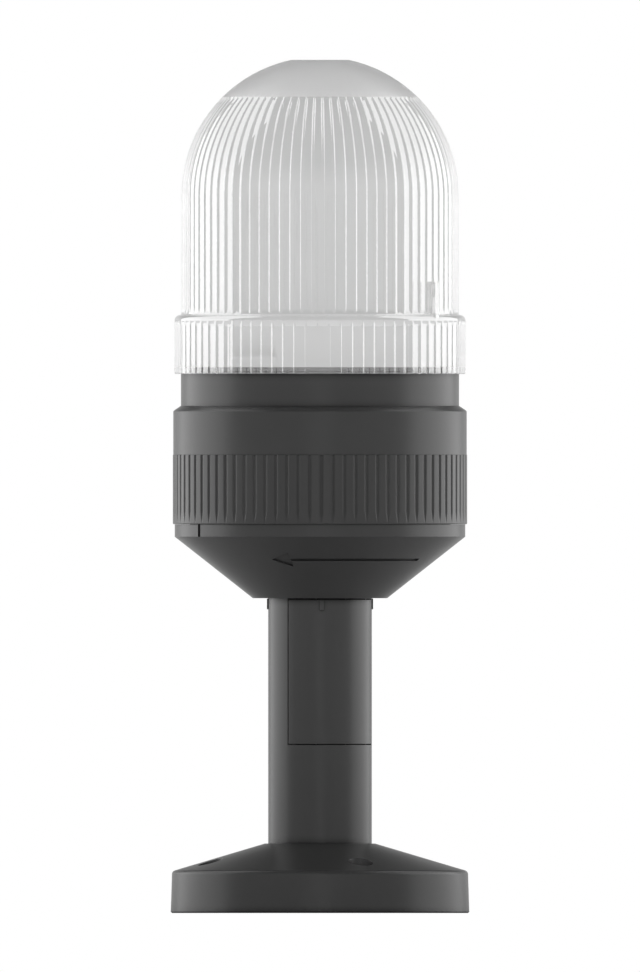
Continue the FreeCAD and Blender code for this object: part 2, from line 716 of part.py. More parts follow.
def make_adapter():
    """The conical adapter: pole socket, spigot with bayonet lugs, index tick and locking arrow."""
    slope = d.cone_height / (rim_r - collar_r)

    def skin(radius):
        return cone_low + (radius - collar_r) * slope

    socket_high = pole_high + d.spigot_wall
    body = turned("adapter_body", [
        (socket_r, cone_low),
        (collar_r, cone_low),
        (rim_r, rim_low),
        (rim_r, rim_high),
        (spigot_r, rim_high),
        (spigot_r, spigot_high),
        (spigot_bore, spigot_high),
        (spigot_bore, carrier_low),
        (carrier_seat_r, carrier_low),
        (carrier_seat_r, skin(carrier_seat_r) + d.cone_wall),
        (hub_r, skin(hub_r) + d.cone_wall),
        (hub_r, socket_high),
        (cable_r, socket_high),
        (cable_r, pole_high),
        (socket_r, pole_high),
    ])
    lug_root = spigot_r - d.spigot_wall / 2
    lug_high = spigot_lug_low + d.lug_height
    lugs = bayonet_lugs("adapter_lug", lug_root, spigot_lug_r, spigot_lug_low, lug_high)
    stops = bayonet_stops("adapter_stop", lug_root, spigot_lug_r, housing_lug_low, lug_high)

    arrow = arrow_cutter()
    tick_sweep = arc_angle(d.tick_width, rim_r)
    tick = ring("tick", rim_r - d.engraving, rim_r + d.engraving, rim_low, rim_high,
                d.tick_azimuth - tick_sweep / 2, tick_sweep)
    seal_middle = (spigot_r + rim_r) / 2 + d.seal_width / 2
    seal_low = rim_high - d.seal_height
    groove = ring("seal_groove", seal_middle - d.seal_width / 2, seal_middle + d.seal_width / 2,
                  seal_low, rim_high)
    port_holes = [
        rod(f"adapter_port_{i}", d.screw_hole_d, pole_high, socket_high, polar(port_circle, azimuth))
        for i, azimuth in enumerate(port_azimuths)
    ]
    adapter = cut("adapter", fused("adapter_solid", body, *lugs, *stops), arrow, tick, groove, *port_holes)
    finish(adapter, "cone_adapter")

    seal = ring("seal", seal_middle - d.seal_width / 2 + d.socket_fit,
                seal_middle + d.seal_width / 2 - d.socket_fit, seal_low, rim_high)
    finish(seal, "joint_seal")
    finish(self_tapping_screws("adapter_screws", socket_high, rising=False), "pole_adapter_screws")


def make_terminals():
    """The terminal carrier in the spigot with its clamps, screws and contact springs."""
    carrier = ring("carrier", cable_r, spigot_bore - d.carrier_gap, carrier_low, carrier_high)
    finish(carrier, "terminal_carrier")

    clamp_high = carrier_high + d.clamp_height
    screws = []
    for i, azimuth in enumerate(clamp_azimuths, start=1):
        body = block(f"clamp_body_{i}", clamp_circle, azimuth, d.clamp_width, d.clamp_length,
                     carrier_high, clamp_high)
        x, y = polar(clamp_circle, azimuth)
        bore = doc.addObject("Part::Cylinder", f"clamp_bore_{i}")
        bind(bore, "Radius", d.clamp_bore_d / 2)
        bind(bore, "Height", d.clamp_length * 2)
        bore.Placement = Placement(Vector(), Rotation(Vector(0, 1, 0), QUARTER_TURN))
        bind_base(bore, x - d.clamp_length, y, carrier_high + d.clamp_height / 2)
        finish(cut(f"clamp_{i}", body, bore), f"terminal_clamp_{i}")
        screws.append(rod(f"clamp_screw_{i}", d.clamp_screw_d, clamp_high,
                          clamp_high + d.clamp_screw_height, (x, y)))
    finish(group("clamp_screws", *screws), "terminal_screws")

    # A spring is a strip with a flat foot, a slanting middle and a flat contact end
    end = d.spring_length / 2
    knee = end / 3
    gauge = d.spring_thickness
    for i, azimuth in enumerate(contact_azimuths, start=1):
        side = 1 if azimuth.value == 0 else -1
        strip = extruded(f"spring_{i}", [
            (-end * side, carrier_high),
            (-knee * side, carrier_high),
            (knee * side, spigot_high - gauge),
            (end * side, spigot_high - gauge),
            (end * side, spigot_high),
            ((knee - gauge) * side, spigot_high),
            ((-knee - gauge) * side, carrier_high + gauge),
            (-end * side, carrier_high + gauge),
        ], d.spring_width / 2 - contact_circle * side, d.spring_width)
        finish(strip, f"contact_spring_{i}")


def origin_part(body, role):
    """Return a plane or axis of a body's own origin."""
    return next(part for part in body.Origin.OriginFeatures if part.Role == role)


def body_sketch(body, name, role, height=None):
    """Return a new sketch on one of a body's own planes, lifted to a height."""
    sketch = body.newObject("Sketcher::SketchObject", name)
    sketch.AttachmentSupport = (origin_part(body, role), [""])
    sketch.MapMode = "FlatFace"
    if height is not None:
        bind(sketch, "AttachmentOffset.Base.z", height)
    return sketch


def draw_circles(sketch, diameter, places):
    """Draw circles of one diameter in a sketch, their centres tied to their sizes."""
    for i, (x, y) in enumerate(places):
        sketch.addGeometry(Part.Circle(Vector(x.value, y.value, 0), Vector(0, 0, 1), diameter.value / 2))
        first = sketch.addConstraint(Sketcher.Constraint("DistanceX", -1, 1, i, 3, x.value))
        sketch.addConstraint(Sketcher.Constraint("DistanceY", -1, 1, i, 3, y.value))
        sketch.addConstraint(Sketcher.Constraint("Diameter", i, diameter.value))
        for offset, size in enumerate((x, y, diameter)):
            sketch.setExpression(f"Constraints[{first + offset}]", size.text)


def turn_feature(body, name, outline, angle=None):
    """Add what an outline sweeps round the z axis, all round or by an angle about its own plane."""
    feature = body.newObject("PartDesign::Revolution", name)
    feature.Profile = outline
    feature.ReferenceAxis = (outline, ["V_Axis"])
    if angle is None:
        feature.Angle = FULL_TURN
    else:
        feature.Midplane = True
        bind(feature, "Angle", angle)
    doc.recompute()
    return feature


def pocket_feature(body, name, sketch, depth):
    """Cut a sketch downwards by a depth, and stop if it cuts nothing."""
    before = body.Shape.Volume
    feature = body.newObject("PartDesign::Pocket", name)
    feature.Profile = sketch
    bind(feature, "Length", depth)
    doc.recompute()
    if body.Shape.Volume >= before:
        raise ValueError(f"{name} cuts nothing")
    return feature


def repeat_round(body, name, features, count):
    """Repeat features evenly round the z axis."""
    pattern = body.newObject("PartDesign::PolarPattern", name)
    pattern.Originals = features
    pattern.Axis = (origin_part(body, "Z_Axis"), [""])
    pattern.Angle = FULL_TURN
    bind(pattern, "Occurrences", count)
    body.Tip = pattern
    doc.recompute()
    return pattern


def flute_section(body, number, height, shift):
    """Return the triangle that cuts a flute at a height, moved outwards by a shift."""
    sketch = body_sketch(body, f"flute_section_{number}", "XY_Plane", height)
    root = -(grip_r - d.flute_depth + shift)
    mouth = root - d.flute_depth * 2
    draw_loop(sketch, [(0, root), (d.flute_width, mouth), (-d.flute_width, mouth)])
    return sketch


def make_housing():
    """The module's housing: fluted grip band, plain band, neck, floor, board posts and lugs."""
    body = doc.addObject("PartDesign::Body", "housing")
    outline = body_sketch(body, "housing_outline", "XZ_Plane")
    draw_loop(outline, [
        (well_r, grip_low),
        (grip_r, grip_low),
        (grip_r, band_low),
        (band_r, band_low),
        (band_r, chamfer_low),
        (neck_r, neck_low),
        (neck_r, neck_high),
        (neck_bore, neck_high),
        (neck_bore, tray_low),
        (ledge_r, tray_low),
        (ledge_r, chamfer_low),
        (chamber_r, chamfer_low - (chamber_r - ledge_r)),
        (chamber_r, floor_high),
        (0, floor_high),
        (0, floor_low),
        (well_r, floor_low),
    ])
    turn_feature(body, "housing_shell", outline)

    lug_outline = body_sketch(body, "housing_lug_outline", "XZ_Plane")
    lug_root = well_r + d.flute_depth
    draw_loop(lug_outline, [
        (housing_lug_r, housing_lug_low),
        (lug_root, housing_lug_low),
        (lug_root, housing_lug_high),
        (housing_lug_r, housing_lug_high),
    ])
    lug = turn_feature(body, "housing_lug", lug_outline, d.lug_angle)
    repeat_round(body, "housing_lugs", [lug], d.bayonet_count)

    post_place = polar(post_circle, post_azimuths[0])
    post_sketch = body_sketch(body, "post_sketch", "XY_Plane", floor_high)
    draw_circles(post_sketch, d.board_post_d, [post_place])
    post = body.newObject("PartDesign::Pad", "post")
    post.Profile = post_sketch
    bind(post, "Length", d.board_post_height)
    doc.recompute()
    repeat_round(body, "posts", [post], d.bayonet_count)
    pilot_sketch = body_sketch(body, "pilot_sketch", "XY_Plane", board_low)
    draw_circles(pilot_sketch, d.pilot_d, [polar(post_circle, azimuth) for azimuth in post_azimuths])
    pocket_feature(body, "post_pilots", pilot_sketch, d.board_post_height)
    pin_sketch = body_sketch(body, "pin_sketch", "XY_Plane", floor_high)
    draw_circles(pin_sketch, d.contact_pin_d + d.contact_gap,
                 [polar(contact_circle, azimuth) for azimuth in contact_azimuths])
    pocket_feature(body, "pin_holes", pin_sketch, d.floor_thickness)

    before = body.Shape.Volume
    sections = [
        flute_section(body, 0, band_low, Size.of(0)),
        flute_section(body, 1, grip_low + d.flute_runout, Size.of(0)),
        flute_section(body, 2, grip_low, d.flute_depth + d.band_step),
    ]
    flute = body.newObject("PartDesign::SubtractiveLoft", "flute")
    flute.Profile = sections[0]
    flute.Sections = sections[1:]
    flute.Ruled = True
    doc.recompute()
    repeat_round(body, "flutes", [flute], d.flute_count)
    if body.Shape.Volume >= before:
        raise ValueError("the flutes cut nothing")
    finish(body, "module_housing")


def make_electronics():
    """The contact pins, the circuit board and the parts that stand on it."""
    pin_low = spigot_high + d.contact_gap
    for i, azimuth in enumerate(contact_azimuths, start=1):
        pin = rod(f"pin_{i}", d.contact_pin_d, pin_low, board_low, polar(contact_circle, azimuth))
        finish(pin, f"contact_pin_{i}")

    board_holes = []
    screws = []
    for i, azimuth in enumerate(post_azimuths):
        place = polar(post_circle, azimuth)
        board_holes.append(rod(f"board_hole_{i}", d.screw_hole_d, board_low, board_high, place))
        head = rod(f"board_head_{i}", d.screw_head_d, board_high, board_high + d.screw_head_height, place)
        shank_low = board_high - d.board_post_height
        shank = rod(f"board_shank_{i}", d.screw_shank_d, shank_low, board_high, place)
        screws.append(fused(f"board_screw_{i}", head, shank))
    disc = rod("board_disc", board_r * 2, board_low, board_high)
    finish(cut("board", disc, *board_holes), "circuit_board")
    finish(group("board_screw_set", *screws), "board_screws")

    capacitor = rod("capacitor", d.capacitor_d, board_high, board_high + d.capacitor_height,
                    polar(d.part_radius, d.capacitor_azimuth))
    finish(capacitor, "flash_capacitor")
    transformer = block("transformer", d.part_radius, d.transformer_azimuth, d.transformer_width,
                        d.transformer_width, board_high, board_high + d.transformer_width)
    finish(transformer, "trigger_transformer")
    film = block("film", d.part_radius, d.film_azimuth, d.film_length, d.film_width,
                 board_high, board_high + d.film_height)
    finish(film, "film_capacitor")
    resistor = block("resistor", d.part_radius, d.resistor_azimuth, d.resistor_width, d.resistor_length,
                     board_high, board_high + d.resistor_width)
    finish(resistor, "power_resistor")

    choke_low = board_high
    choke_high = choke_low + d.choke_height
    flange_r = d.choke_d / 2
    winding_r = flange_r - d.choke_flange
    choke = turned("choke", [
        (0, choke_low),
        (flange_r, choke_low),
        (flange_r, choke_low + d.choke_flange),
        (winding_r, choke_low + d.choke_flange),
        (winding_r, choke_high - d.choke_flange),
        (flange_r, choke_high - d.choke_flange),
        (flange_r, choke_high),
        (0, choke_high),
    ])
    x, y = polar(d.part_radius, d.choke_azimuth)
    bind_base(choke, x, y, 0)
    finish(choke, "charging_choke")


def tube_path(name, low, offset):
    """Return the tube's path: up one leg, round the bend and down the other, at y = offset."""
    reach = d.tube_bend_radius.value
    top = bend_low.value
    left = Vector(-reach, offset, low)
    left_top = Vector(-reach, offset, top)
    crown = Vector(0, offset, top + reach)
    right_top = Vector(reach, offset, top)
    right = Vector(reach, offset, low)
    path = doc.addObject("Part::Feature", name)
    path.Shape = Part.Wire([
        Part.LineSegment(left, left_top).toShape(),
        Part.Arc(left_top, crown, right_top).toShape(),
        Part.LineSegment(right_top, right).toShape(),
    ])
    return path


def swept(name, diameter, low, offset):
    """Return a round bar bent along the tube's path, its ends at a height."""
    circle = doc.addObject("Part::Circle", f"{name}_section")
    bind(circle, "Radius", diameter / 2)
    bind_base(circle, -d.tube_bend_radius, offset, low)
    bar = doc.addObject("Part::Sweep", name)
    bar.Sections = [circle]
    bar.Spine = (tube_path(f"{name}_path", low.value, offset.value), ["Edge1", "Edge2", "Edge3"])
    bar.Solid = True
    bar.Frenet = False
    return bar


def make_lamp():
    """The white lamp tray with its bayonet, the pedestal, the flash tube and its fittings."""
    dish = turned("tray_dish", [
        (d.tray_hole_d / 2, tray_low),
        (tray_r, tray_low),
        (tray_r, tray_high),
        (tray_r - d.tray_wall, tray_high),
        (tray_r - d.tray_wall, tray_top),
        (d.tray_hole_d / 2, tray_top),
    ])
    lug_root = tray_r - d.tray_wall / 2
    lugs = bayonet_lugs("tray_lug", lug_root, tray_lug_r, tray_lug_low, tray_high)
    stops = bayonet_stops("tray_stop", lug_root, tray_lug_r, lens_lug_low, tray_high)
    finish(fused("tray", dish, *lugs, *stops), "lamp_tray")

    inner = neck_r - d.lens_seal_width
    finish(ring("neck_seal", inner, neck_r, neck_high, neck_high + d.lens_seal_height), "lens_seal")

    stem = rod("pedestal_stem", d.pedestal_d, tray_top, pedestal_high)
    sockets = [
        rod(f"pedestal_socket_{i}", d.tube_d + d.tube_fit * 2, tube_low, pedestal_high, (side, 0))
        for i, side in enumerate((-d.tube_bend_radius, d.tube_bend_radius))
    ]
    finish(cut("pedestal", stem, *sockets), "tube_pedestal")

    zero = Size.of(0)
    glass = swept("tube_glass", d.tube_d, tube_low, zero)
    bore = swept("tube_bore", d.tube_d - d.tube_wall * 2, tube_low + d.tube_plug, zero)
    finish(cut("tube", glass, bore), "flash_tube")
    electrode_low = tube_low + d.tube_plug
    electrodes = [
        rod(f"electrode_{i}", d.electrode_d, electrode_low, electrode_low + d.electrode_length, (side, 0))
        for i, side in enumerate((-d.tube_bend_radius, d.tube_bend_radius))
    ]
    finish(group("electrodes", *electrodes), "tube_electrodes")
    wire_back = (d.tube_d + d.trigger_wire_d) / 2 + d.trigger_wire_gap
    finish(swept("wire", d.trigger_wire_d, pedestal_high, wire_back), "trigger_wire")
    leads = [
        rod(f"lead_{i}", d.lead_d, board_high, tray_top, polar(d.lead_radius, azimuth))
        for i, azimuth in enumerate(around(d.lead_count, Size.of(0)))
    ]
    finish(group("leads", *leads), "tube_leads")


def star(name, radius, depth, height, azimuth):
    """Return the ribbed outline of the lens at a height: a ridge and a valley for each rib."""
    corners = []
    count = int(d.flute_count)
    for i in range(count):
        ridge = math.radians(azimuth.value + FULL_TURN * i / count)
        valley = ridge + math.pi / count
        low = radius - depth
        corners.append(Vector(radius * math.sin(ridge), -radius * math.cos(ridge), height))
        corners.append(Vector(low * math.sin(valley), -low * math.cos(valley), height))
    outline = doc.addObject("Part::Feature", name)
    outline.Shape = Part.makePolygon(corners + corners[:1])
    return outline


def lofted(name, outlines, straight):
    """Return a solid through several outlines, straight or smooth from each one to the next."""
    solid = doc.addObject("Part::Loft", name)
    solid.Sections = outlines
    solid.Solid = True
    solid.Ruled = straight
    return solid


def ribbed_column(name, radius, low, high, azimuth):
    """Return a ribbed column between two heights."""
    ends = [
        star(f"{name}_{end}", radius.value, d.rib_depth.value, height.value, azimuth)
        for end, height in (("low", low), ("high", high))
    ]
    return lofted(name, ends, straight=True)


def ribbed_dome(name):
    """Return the ribbed dome: ribs that narrow along a sphere up to the plain cap."""
    outlines = []
    bands = int(d.dome_bands)
    for i in range(bands + 1):
        latitude = math.radians(d.cap_latitude.value * i / bands)
        inward = math.cos(latitude)
        height = dome_low.value + lens_r.value * math.sin(latitude)
        radius = lens_r.value * inward
        depth = d.rib_depth.value * inward
        outlines.append(star(f"{name}_{i}", radius, depth, height, d.rib_azimuth))
    return lofted(name, outlines, straight=False)


def make_lens():
    """The clear lens: ribbed skirt, shoulder, ribbed barrel and dome, plain cap, lugs and index rib."""
    skirt = ribbed_column("lens_skirt", skirt_r, skirt_low, shoulder_low, d.skirt_rib_azimuth)
    shoulder = doc.addObject("Part::Cone", "lens_shoulder")
    bind(shoulder, "Radius1", skirt_r)
    bind(shoulder, "Radius2", lens_r)
    bind(shoulder, "Height", d.shoulder_height)
    bind_base(shoulder, 0, 0, shoulder_low)
    barrel = ribbed_column("lens_barrel", lens_r, barrel_low, dome_low, d.rib_azimuth)
    dome = ribbed_dome("lens_dome")
    cap = doc.addObject("Part::Sphere", "lens_cap")
    bind(cap, "Radius", lens_r)
    bind(cap, "Angle1", d.cap_latitude)
    bind(cap, "Angle2", d.top_latitude)
    bind_base(cap, 0, 0, dome_low)
    index = block("lens_index", lens_r, d.index_azimuth, d.index_width, d.index_width * 2,
                  shoulder_low, shoulder_low + d.index_height)
    outside = fused("lens_outside", skirt, shoulder, barrel, dome, cap, index)

    hollow = turned("lens_hollow", [
        (0, skirt_low),
        (neck_r + d.skirt_gap, skirt_low),
        (neck_r + d.skirt_gap, lens_seat),
        (skirt_bore, lens_seat),
        (skirt_bore, shoulder_low - d.shoulder_height),
        (lens_bore, barrel_low),
        (lens_bore, dome_low),
        (0, dome_low),
    ])
    vault = doc.addObject("Part::Sphere", "lens_vault")
    bind(vault, "Radius", lens_bore)
    vault.Angle1 = 0
    bind_base(vault, 0, 0, dome_low)
    lugs = bayonet_lugs("lens_lug", lens_lug_r, skirt_bore + d.rib_depth, lens_lug_low, lens_lug_high)
    inside = cut("lens_inside", fused("lens_space", hollow, vault), *lugs)
    finish(cut("lens", outside, inside), "lens")


def check_document():
    """Stop if any object of the document failed or any sub-part is not a sound solid."""
    for thing in doc.Objects:
        if {"Invalid", "Error"} & set(thing.State):
            raise ValueError(f"{thing.Name} failed: {thing.State}")
    for part in sub_parts:
        shape = part.Shape
        if shape.isNull() or not shape.isValid() or not shape.Solids:
            raise ValueError(f"{part.Label} is not a sound solid")


make_foot()
make_pole()
make_adapter()
make_terminals()
make_housing()
make_electronics()
make_lamp()
make_lens()
doc.recompute()
check_document()
os.makedirs("parts", exist_ok=True)
for part in sub_parts:
    part.Shape.exportStep(f"parts/{part.Label}.step")
    print(f"{part.Label}: {len(part.Shape.Solids)} solid, {part.Shape.Volume:.0f} cubic millimetres")
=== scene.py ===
"""Xenon strobe beacon on a pole foot: its finishes, its fluted housing, its ribbed lens and a studio.

Metres, +Z up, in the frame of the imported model. The front of the beacon faces -Y, and an azimuth
is counted from the front towards +X.
"""
import json
import logging
import math
from dataclasses import dataclass, field
from enum import Enum
from typing import NamedTuple

import bpy
import numpy as np
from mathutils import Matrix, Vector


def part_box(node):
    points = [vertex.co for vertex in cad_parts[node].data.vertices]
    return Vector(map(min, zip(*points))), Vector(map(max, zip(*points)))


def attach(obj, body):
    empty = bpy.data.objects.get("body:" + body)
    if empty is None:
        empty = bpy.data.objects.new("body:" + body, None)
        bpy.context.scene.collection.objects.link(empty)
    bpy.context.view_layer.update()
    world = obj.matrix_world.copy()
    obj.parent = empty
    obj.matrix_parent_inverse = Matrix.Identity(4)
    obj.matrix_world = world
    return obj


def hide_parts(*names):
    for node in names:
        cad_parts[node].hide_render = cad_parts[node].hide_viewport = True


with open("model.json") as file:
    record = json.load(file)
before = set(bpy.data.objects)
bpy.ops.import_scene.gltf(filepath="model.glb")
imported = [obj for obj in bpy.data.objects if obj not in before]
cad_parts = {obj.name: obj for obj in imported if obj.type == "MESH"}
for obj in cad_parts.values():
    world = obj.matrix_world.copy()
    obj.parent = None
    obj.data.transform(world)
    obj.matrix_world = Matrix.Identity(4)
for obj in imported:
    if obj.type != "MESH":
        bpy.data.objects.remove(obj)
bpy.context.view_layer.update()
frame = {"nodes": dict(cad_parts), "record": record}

MM = 0.001

log = logging.getLogger("strobe_beacon")

Color = tuple[float, float, float]

# Places of the colour sockets on a Mix node, which has sockets of the same names for other data.
MIX_FIRST, MIX_SECOND, MIX_RESULT = 6, 7, 2


class Body(Enum):
    """The bodies of the beacon that move by themselves."""

    STAND = "stand"
    COVER = "cover"
    MODULE = "module"
    LENS = "lens_body"


class Slot(Enum):
    """The material slots of the record."""

    HOUSING = "housing_plastic"
    CLEAR = "clear_plastic"
    WHITE = "white_plastic"
    CARRIER = "carrier_plastic"
    SEAL = "seal_rubber"
    SILICONE = "clear_silicone"
    STEEL = "screw_steel"
    BRASS = "contact_brass"
    LAMINATE = "board_laminate"
    SLEEVE = "capacitor_sleeve"
    RESIN = "transformer_resin"
    FILM = "film_resin"
    CERAMIC = "resistor_ceramic"
    WINDING = "choke_winding"
    GLASS = "tube_glass"
    NICKEL = "electrode_metal"


class NodeSheet:
    """A node tree with short calls that add and join its nodes."""

    def __init__(self, tree: bpy.types.NodeTree) -> None:
        """Start from an empty tree."""
        self.tree = tree
        tree.nodes.clear()

    def add(self, kind: str, settings: dict | None = None, **inputs: object) -> bpy.types.Node:
        """Add a node.

        Args:
            kind: Blender's type name of the node.
            settings: attributes of the node, by name.
            inputs: values or sockets for its inputs, by the input's name with _ for a space.

        Returns:
            The new node.
        """
        node = self.tree.nodes.new(kind)
        for name, value in (settings or {}).items():
            setattr(node, name, value)
        for name, value in inputs.items():
            self.feed(node.inputs[name.replace("_", " ")], value)
        return node

    def feed(self, socket: bpy.types.NodeSocket, value: object) -> None:
        """Link a socket to another socket, or set its own value."""
        if isinstance(value, bpy.types.NodeSocket):
            self.tree.links.new(value, socket)
        else:
            socket.default_value = value

    def noise(self, vector: object, scale: object, detail: float, rough: float) -> bpy.types.NodeSocket:
        """Add a noise texture and return its value."""
        node = self.add("ShaderNodeTexNoise", Vector=vector, Scale=scale, Detail=detail, Roughness=rough)
        return node.outputs["Fac"]

    def math(self, operation: str, first: object, second: object) -> bpy.types.NodeSocket:
        """Add a math node on two values and return its result."""
        node = self.add("ShaderNodeMath", {"operation": operation})
        self.feed(node.inputs[0], first)
        self.feed(node.inputs[1], second)
        return node.outputs["Value"]

    def vector_math(
        self, operation: str, first: object, second: object = (0.0, 0.0, 0.0)
    ) -> bpy.types.NodeOutputs:
        """Add a math node on one or two vectors and return its results."""
        node = self.add("ShaderNodeVectorMath", {"operation": operation})
        self.feed(node.inputs[0], first)
        self.feed(node.inputs[1], second)
        return node.outputs

    def spread(
        self, mask: object, low: float, high: float, start: float = 0.0, end: float = 1.0
    ) -> bpy.types.NodeSocket:
        """Stretch a mask between a start and an end to lie between two values, and return the result."""
        node = self.add(
            "ShaderNodeMapRange", Value=mask, From_Min=start, From_Max=end, To_Min=low, To_Max=high
        )
        return node.outputs["Result"]

    def blend(self, mask: object, first: Color, second: Color) -> bpy.types.NodeSocket:
        """Blend two colours by a mask and return the result."""
        node = self.add("ShaderNodeMix", {"data_type": "RGBA"})
        self.feed(node.inputs["Factor"], mask)
        self.feed(node.inputs[MIX_FIRST], (*first, 1.0))
        self.feed(node.inputs[MIX_SECOND], (*second, 1.0))
        return node.outputs[MIX_RESULT]

    def mix_shaders(
        self, mask: object, first: bpy.types.NodeSocket, second: bpy.types.NodeSocket
    ) -> bpy.types.NodeSocket:
        """Mix two shaders by a mask and return the result."""
        node = self.add("ShaderNodeMixShader", Fac=mask)
        self.feed(node.inputs[1], first)
        self.feed(node.inputs[2], second)
        return node.outputs["Shader"]

    def in_view(self, path: bpy.types.NodeOutputs) -> bpy.types.NodeSocket:
        """Return a mask of the rays by which the camera sees, plainly or through glass."""
        return self.math("MAXIMUM", path["Is Camera Ray"], path["Is Transmission Ray"])

    def surface_point(self) -> bpy.types.NodeSocket:
        """Return the place of the shaded point in the beacon's own frame."""
        return self.add("ShaderNodeTexCoord").outputs["Object"]


class Effect(Enum):
    """Surface effects that several finishes share, each kept as one node group."""

    GRAIN = "moulded_grain"
    STREAKS = "drawn_streaks"
    FLOW = "clear_flow"
    # Rounded, rubbed edges, and painted shade in corners and recesses.
    EDGES = "worn_edges_and_corner_shade"

    def group(self) -> bpy.types.NodeTree:
        """Return the effect's node group, building it the first time.

        Returns:
            The node group, whose outputs are masks from 0 to 1 or a normal.
        """
        tree = bpy.data.node_groups.get(self.value)
        if tree is None:
            tree = bpy.data.node_groups.new(self.value, "ShaderNodeTree")
            {
                Effect.GRAIN: build_grain,
                Effect.STREAKS: build_streaks,
                Effect.FLOW: build_flow,
                Effect.EDGES: build_edges,
            }[self](tree)
        return tree

    def place(self, sheet: NodeSheet, **inputs: object) -> bpy.types.NodeOutputs:
        """Put the effect into a material.

        Args:
            sheet: the material's nodes.
            inputs: values or sockets for the group's inputs.

        Returns:
            The group's outputs.
        """
        node = sheet.add("ShaderNodeGroup", {"node_tree": self.group()})
        sheet.feed(node.inputs["Point"], sheet.surface_point())
        for name, value in inputs.items():
            sheet.feed(node.inputs[name], value)
        return node.outputs


def open_group(
    tree: bpy.types.NodeTree, inputs: dict[str, float], outputs: list[str], normals: tuple[str, ...] = ()
) -> tuple[NodeSheet, bpy.types.NodeOutputs, bpy.types.Node]:
    """Give a node group its sockets.

    Args:
        tree: the group.
        inputs: names and defaults of its values, next to the point that it always has.
        outputs: names of its masks.
        normals: names of its normals.

    Returns:
        The group's nodes, its input sockets and its output node.
    """
    tree.interface.new_socket("Point", in_out="INPUT", socket_type="NodeSocketVector")
    for name, default in inputs.items():
        socket = tree.interface.new_socket(name, in_out="INPUT", socket_type="NodeSocketFloat")
        socket.default_value = default
    for name in outputs:
        tree.interface.new_socket(name, in_out="OUTPUT", socket_type="NodeSocketFloat")
    for name in normals:
        tree.interface.new_socket(name, in_out="OUTPUT", socket_type="NodeSocketVector")
    sheet = NodeSheet(tree)
    source = sheet.add("NodeGroupInput").outputs
    target = sheet.add("NodeGroupOutput")
    return sheet, source, target


def build_grain(tree: bpy.types.NodeTree) -> None:
    """Fill the grain group: fine pits of a moulding tool, and a slow drift of tone and gloss."""
    sheet, source, target = open_group(
        tree, {"Pits": 6000.0, "Drift": 90.0}, ["Height", "Tone", "Gloss"]
    )
    pits = sheet.noise(source["Point"], source["Pits"], detail=3.0, rough=0.6)
    drift = sheet.noise(source["Point"], source["Drift"], detail=2.0, rough=0.5)
    mean = sheet.math("MULTIPLY", sheet.math("ADD", pits, drift), 0.5)
    sheet.feed(target.inputs["Height"], pits)
    sheet.feed(target.inputs["Tone"], drift)
    sheet.feed(target.inputs["Gloss"], mean)


def build_streaks(tree: bpy.types.NodeTree) -> None:
    """Fill the streak group: fine lines along z, as on drawn or turned metal."""
    sheet, source, target = open_group(
        tree, {"Across": 9000.0, "Along": 700.0}, ["Height", "Tone"]
    )
    scale = sheet.add("ShaderNodeCombineXYZ", X=source["Across"], Y=source["Across"], Z=source["Along"])
    stretched = sheet.vector_math("MULTIPLY", source["Point"], scale.outputs["Vector"])["Vector"]
    lines = sheet.noise(stretched, 1.0, detail=2.0, rough=0.5)
    sheet.feed(target.inputs["Height"], lines)
    sheet.feed(target.inputs["Tone"], lines)


def build_flow(tree: bpy.types.NodeTree) -> None:
    """Fill the flow group: the faint waves that a clear melt leaves when it sets."""
    sheet, source, target = open_group(tree, {"Waves": 160.0}, ["Height", "Haze"])
    finer = sheet.math("MULTIPLY", source["Waves"], 3.0)
    waves = sheet.noise(source["Point"], source["Waves"], detail=1.0, rough=0.4)
    haze = sheet.noise(source["Point"], finer, detail=2.0, rough=0.5)
    sheet.feed(target.inputs["Height"], waves)
    sheet.feed(target.inputs["Haze"], haze)


def build_edges(tree: bpy.types.NodeTree) -> None:
    """Fill the edge group: softly rounded edges, where they are rubbed, and a mask of painted shade deep in
    corners, from ambient occlusion.
    """
    sheet, source, target = open_group(
        tree, {"Radius": 0.12 * MM, "Reach": 1.5 * MM}, ["Rubbed", "PaintedShade"], ("Normal",)
    )
    edge_cosine, flat_cosine = 0.7, 0.98
    corner_share, open_share = 0.55, 0.95
    rounded = sheet.add("ShaderNodeBevel", {"samples": 4}, Radius=source["Radius"]).outputs["Normal"]
    plain = sheet.add("ShaderNodeNewGeometry").outputs["Normal"]
    facing = sheet.vector_math("DOT_PRODUCT", rounded, plain)["Value"]
    # Ambient occlusion gives the mask of painted shade: corners and recesses get a darker colour.
    around = sheet.add("ShaderNodeAmbientOcclusion", {"samples": 8}, Distance=source["Reach"]).outputs["AO"]
    sheet.feed(target.inputs["Normal"], rounded)
    sheet.feed(target.inputs["Rubbed"], sheet.spread(facing, 1.0, 0.0, edge_cosine, flat_cosine))
    sheet.feed(target.inputs["PaintedShade"], sheet.spread(around, 1.0, 0.0, corner_share, open_share))


def lighter(color: Color, share: float) -> Color:
    """Return a colour made lighter, or darker, by a share of itself."""
    return tuple(min(1.0, channel * (1.0 + share)) for channel in color)


def mirrored(ior: float) -> float:
    """Return the share of light that a surface with an index of refraction mirrors straight back."""
    return ((ior - 1.0) / (ior + 1.0)) ** 2


def put_in_scene(name: str, data: bpy.types.ID) -> bpy.types.Object:
    """Return a new object for a mesh, a light or a camera, linked to the scene."""
    thing = bpy.data.objects.new(name, data)
    bpy.context.scene.collection.objects.link(thing)
    return thing


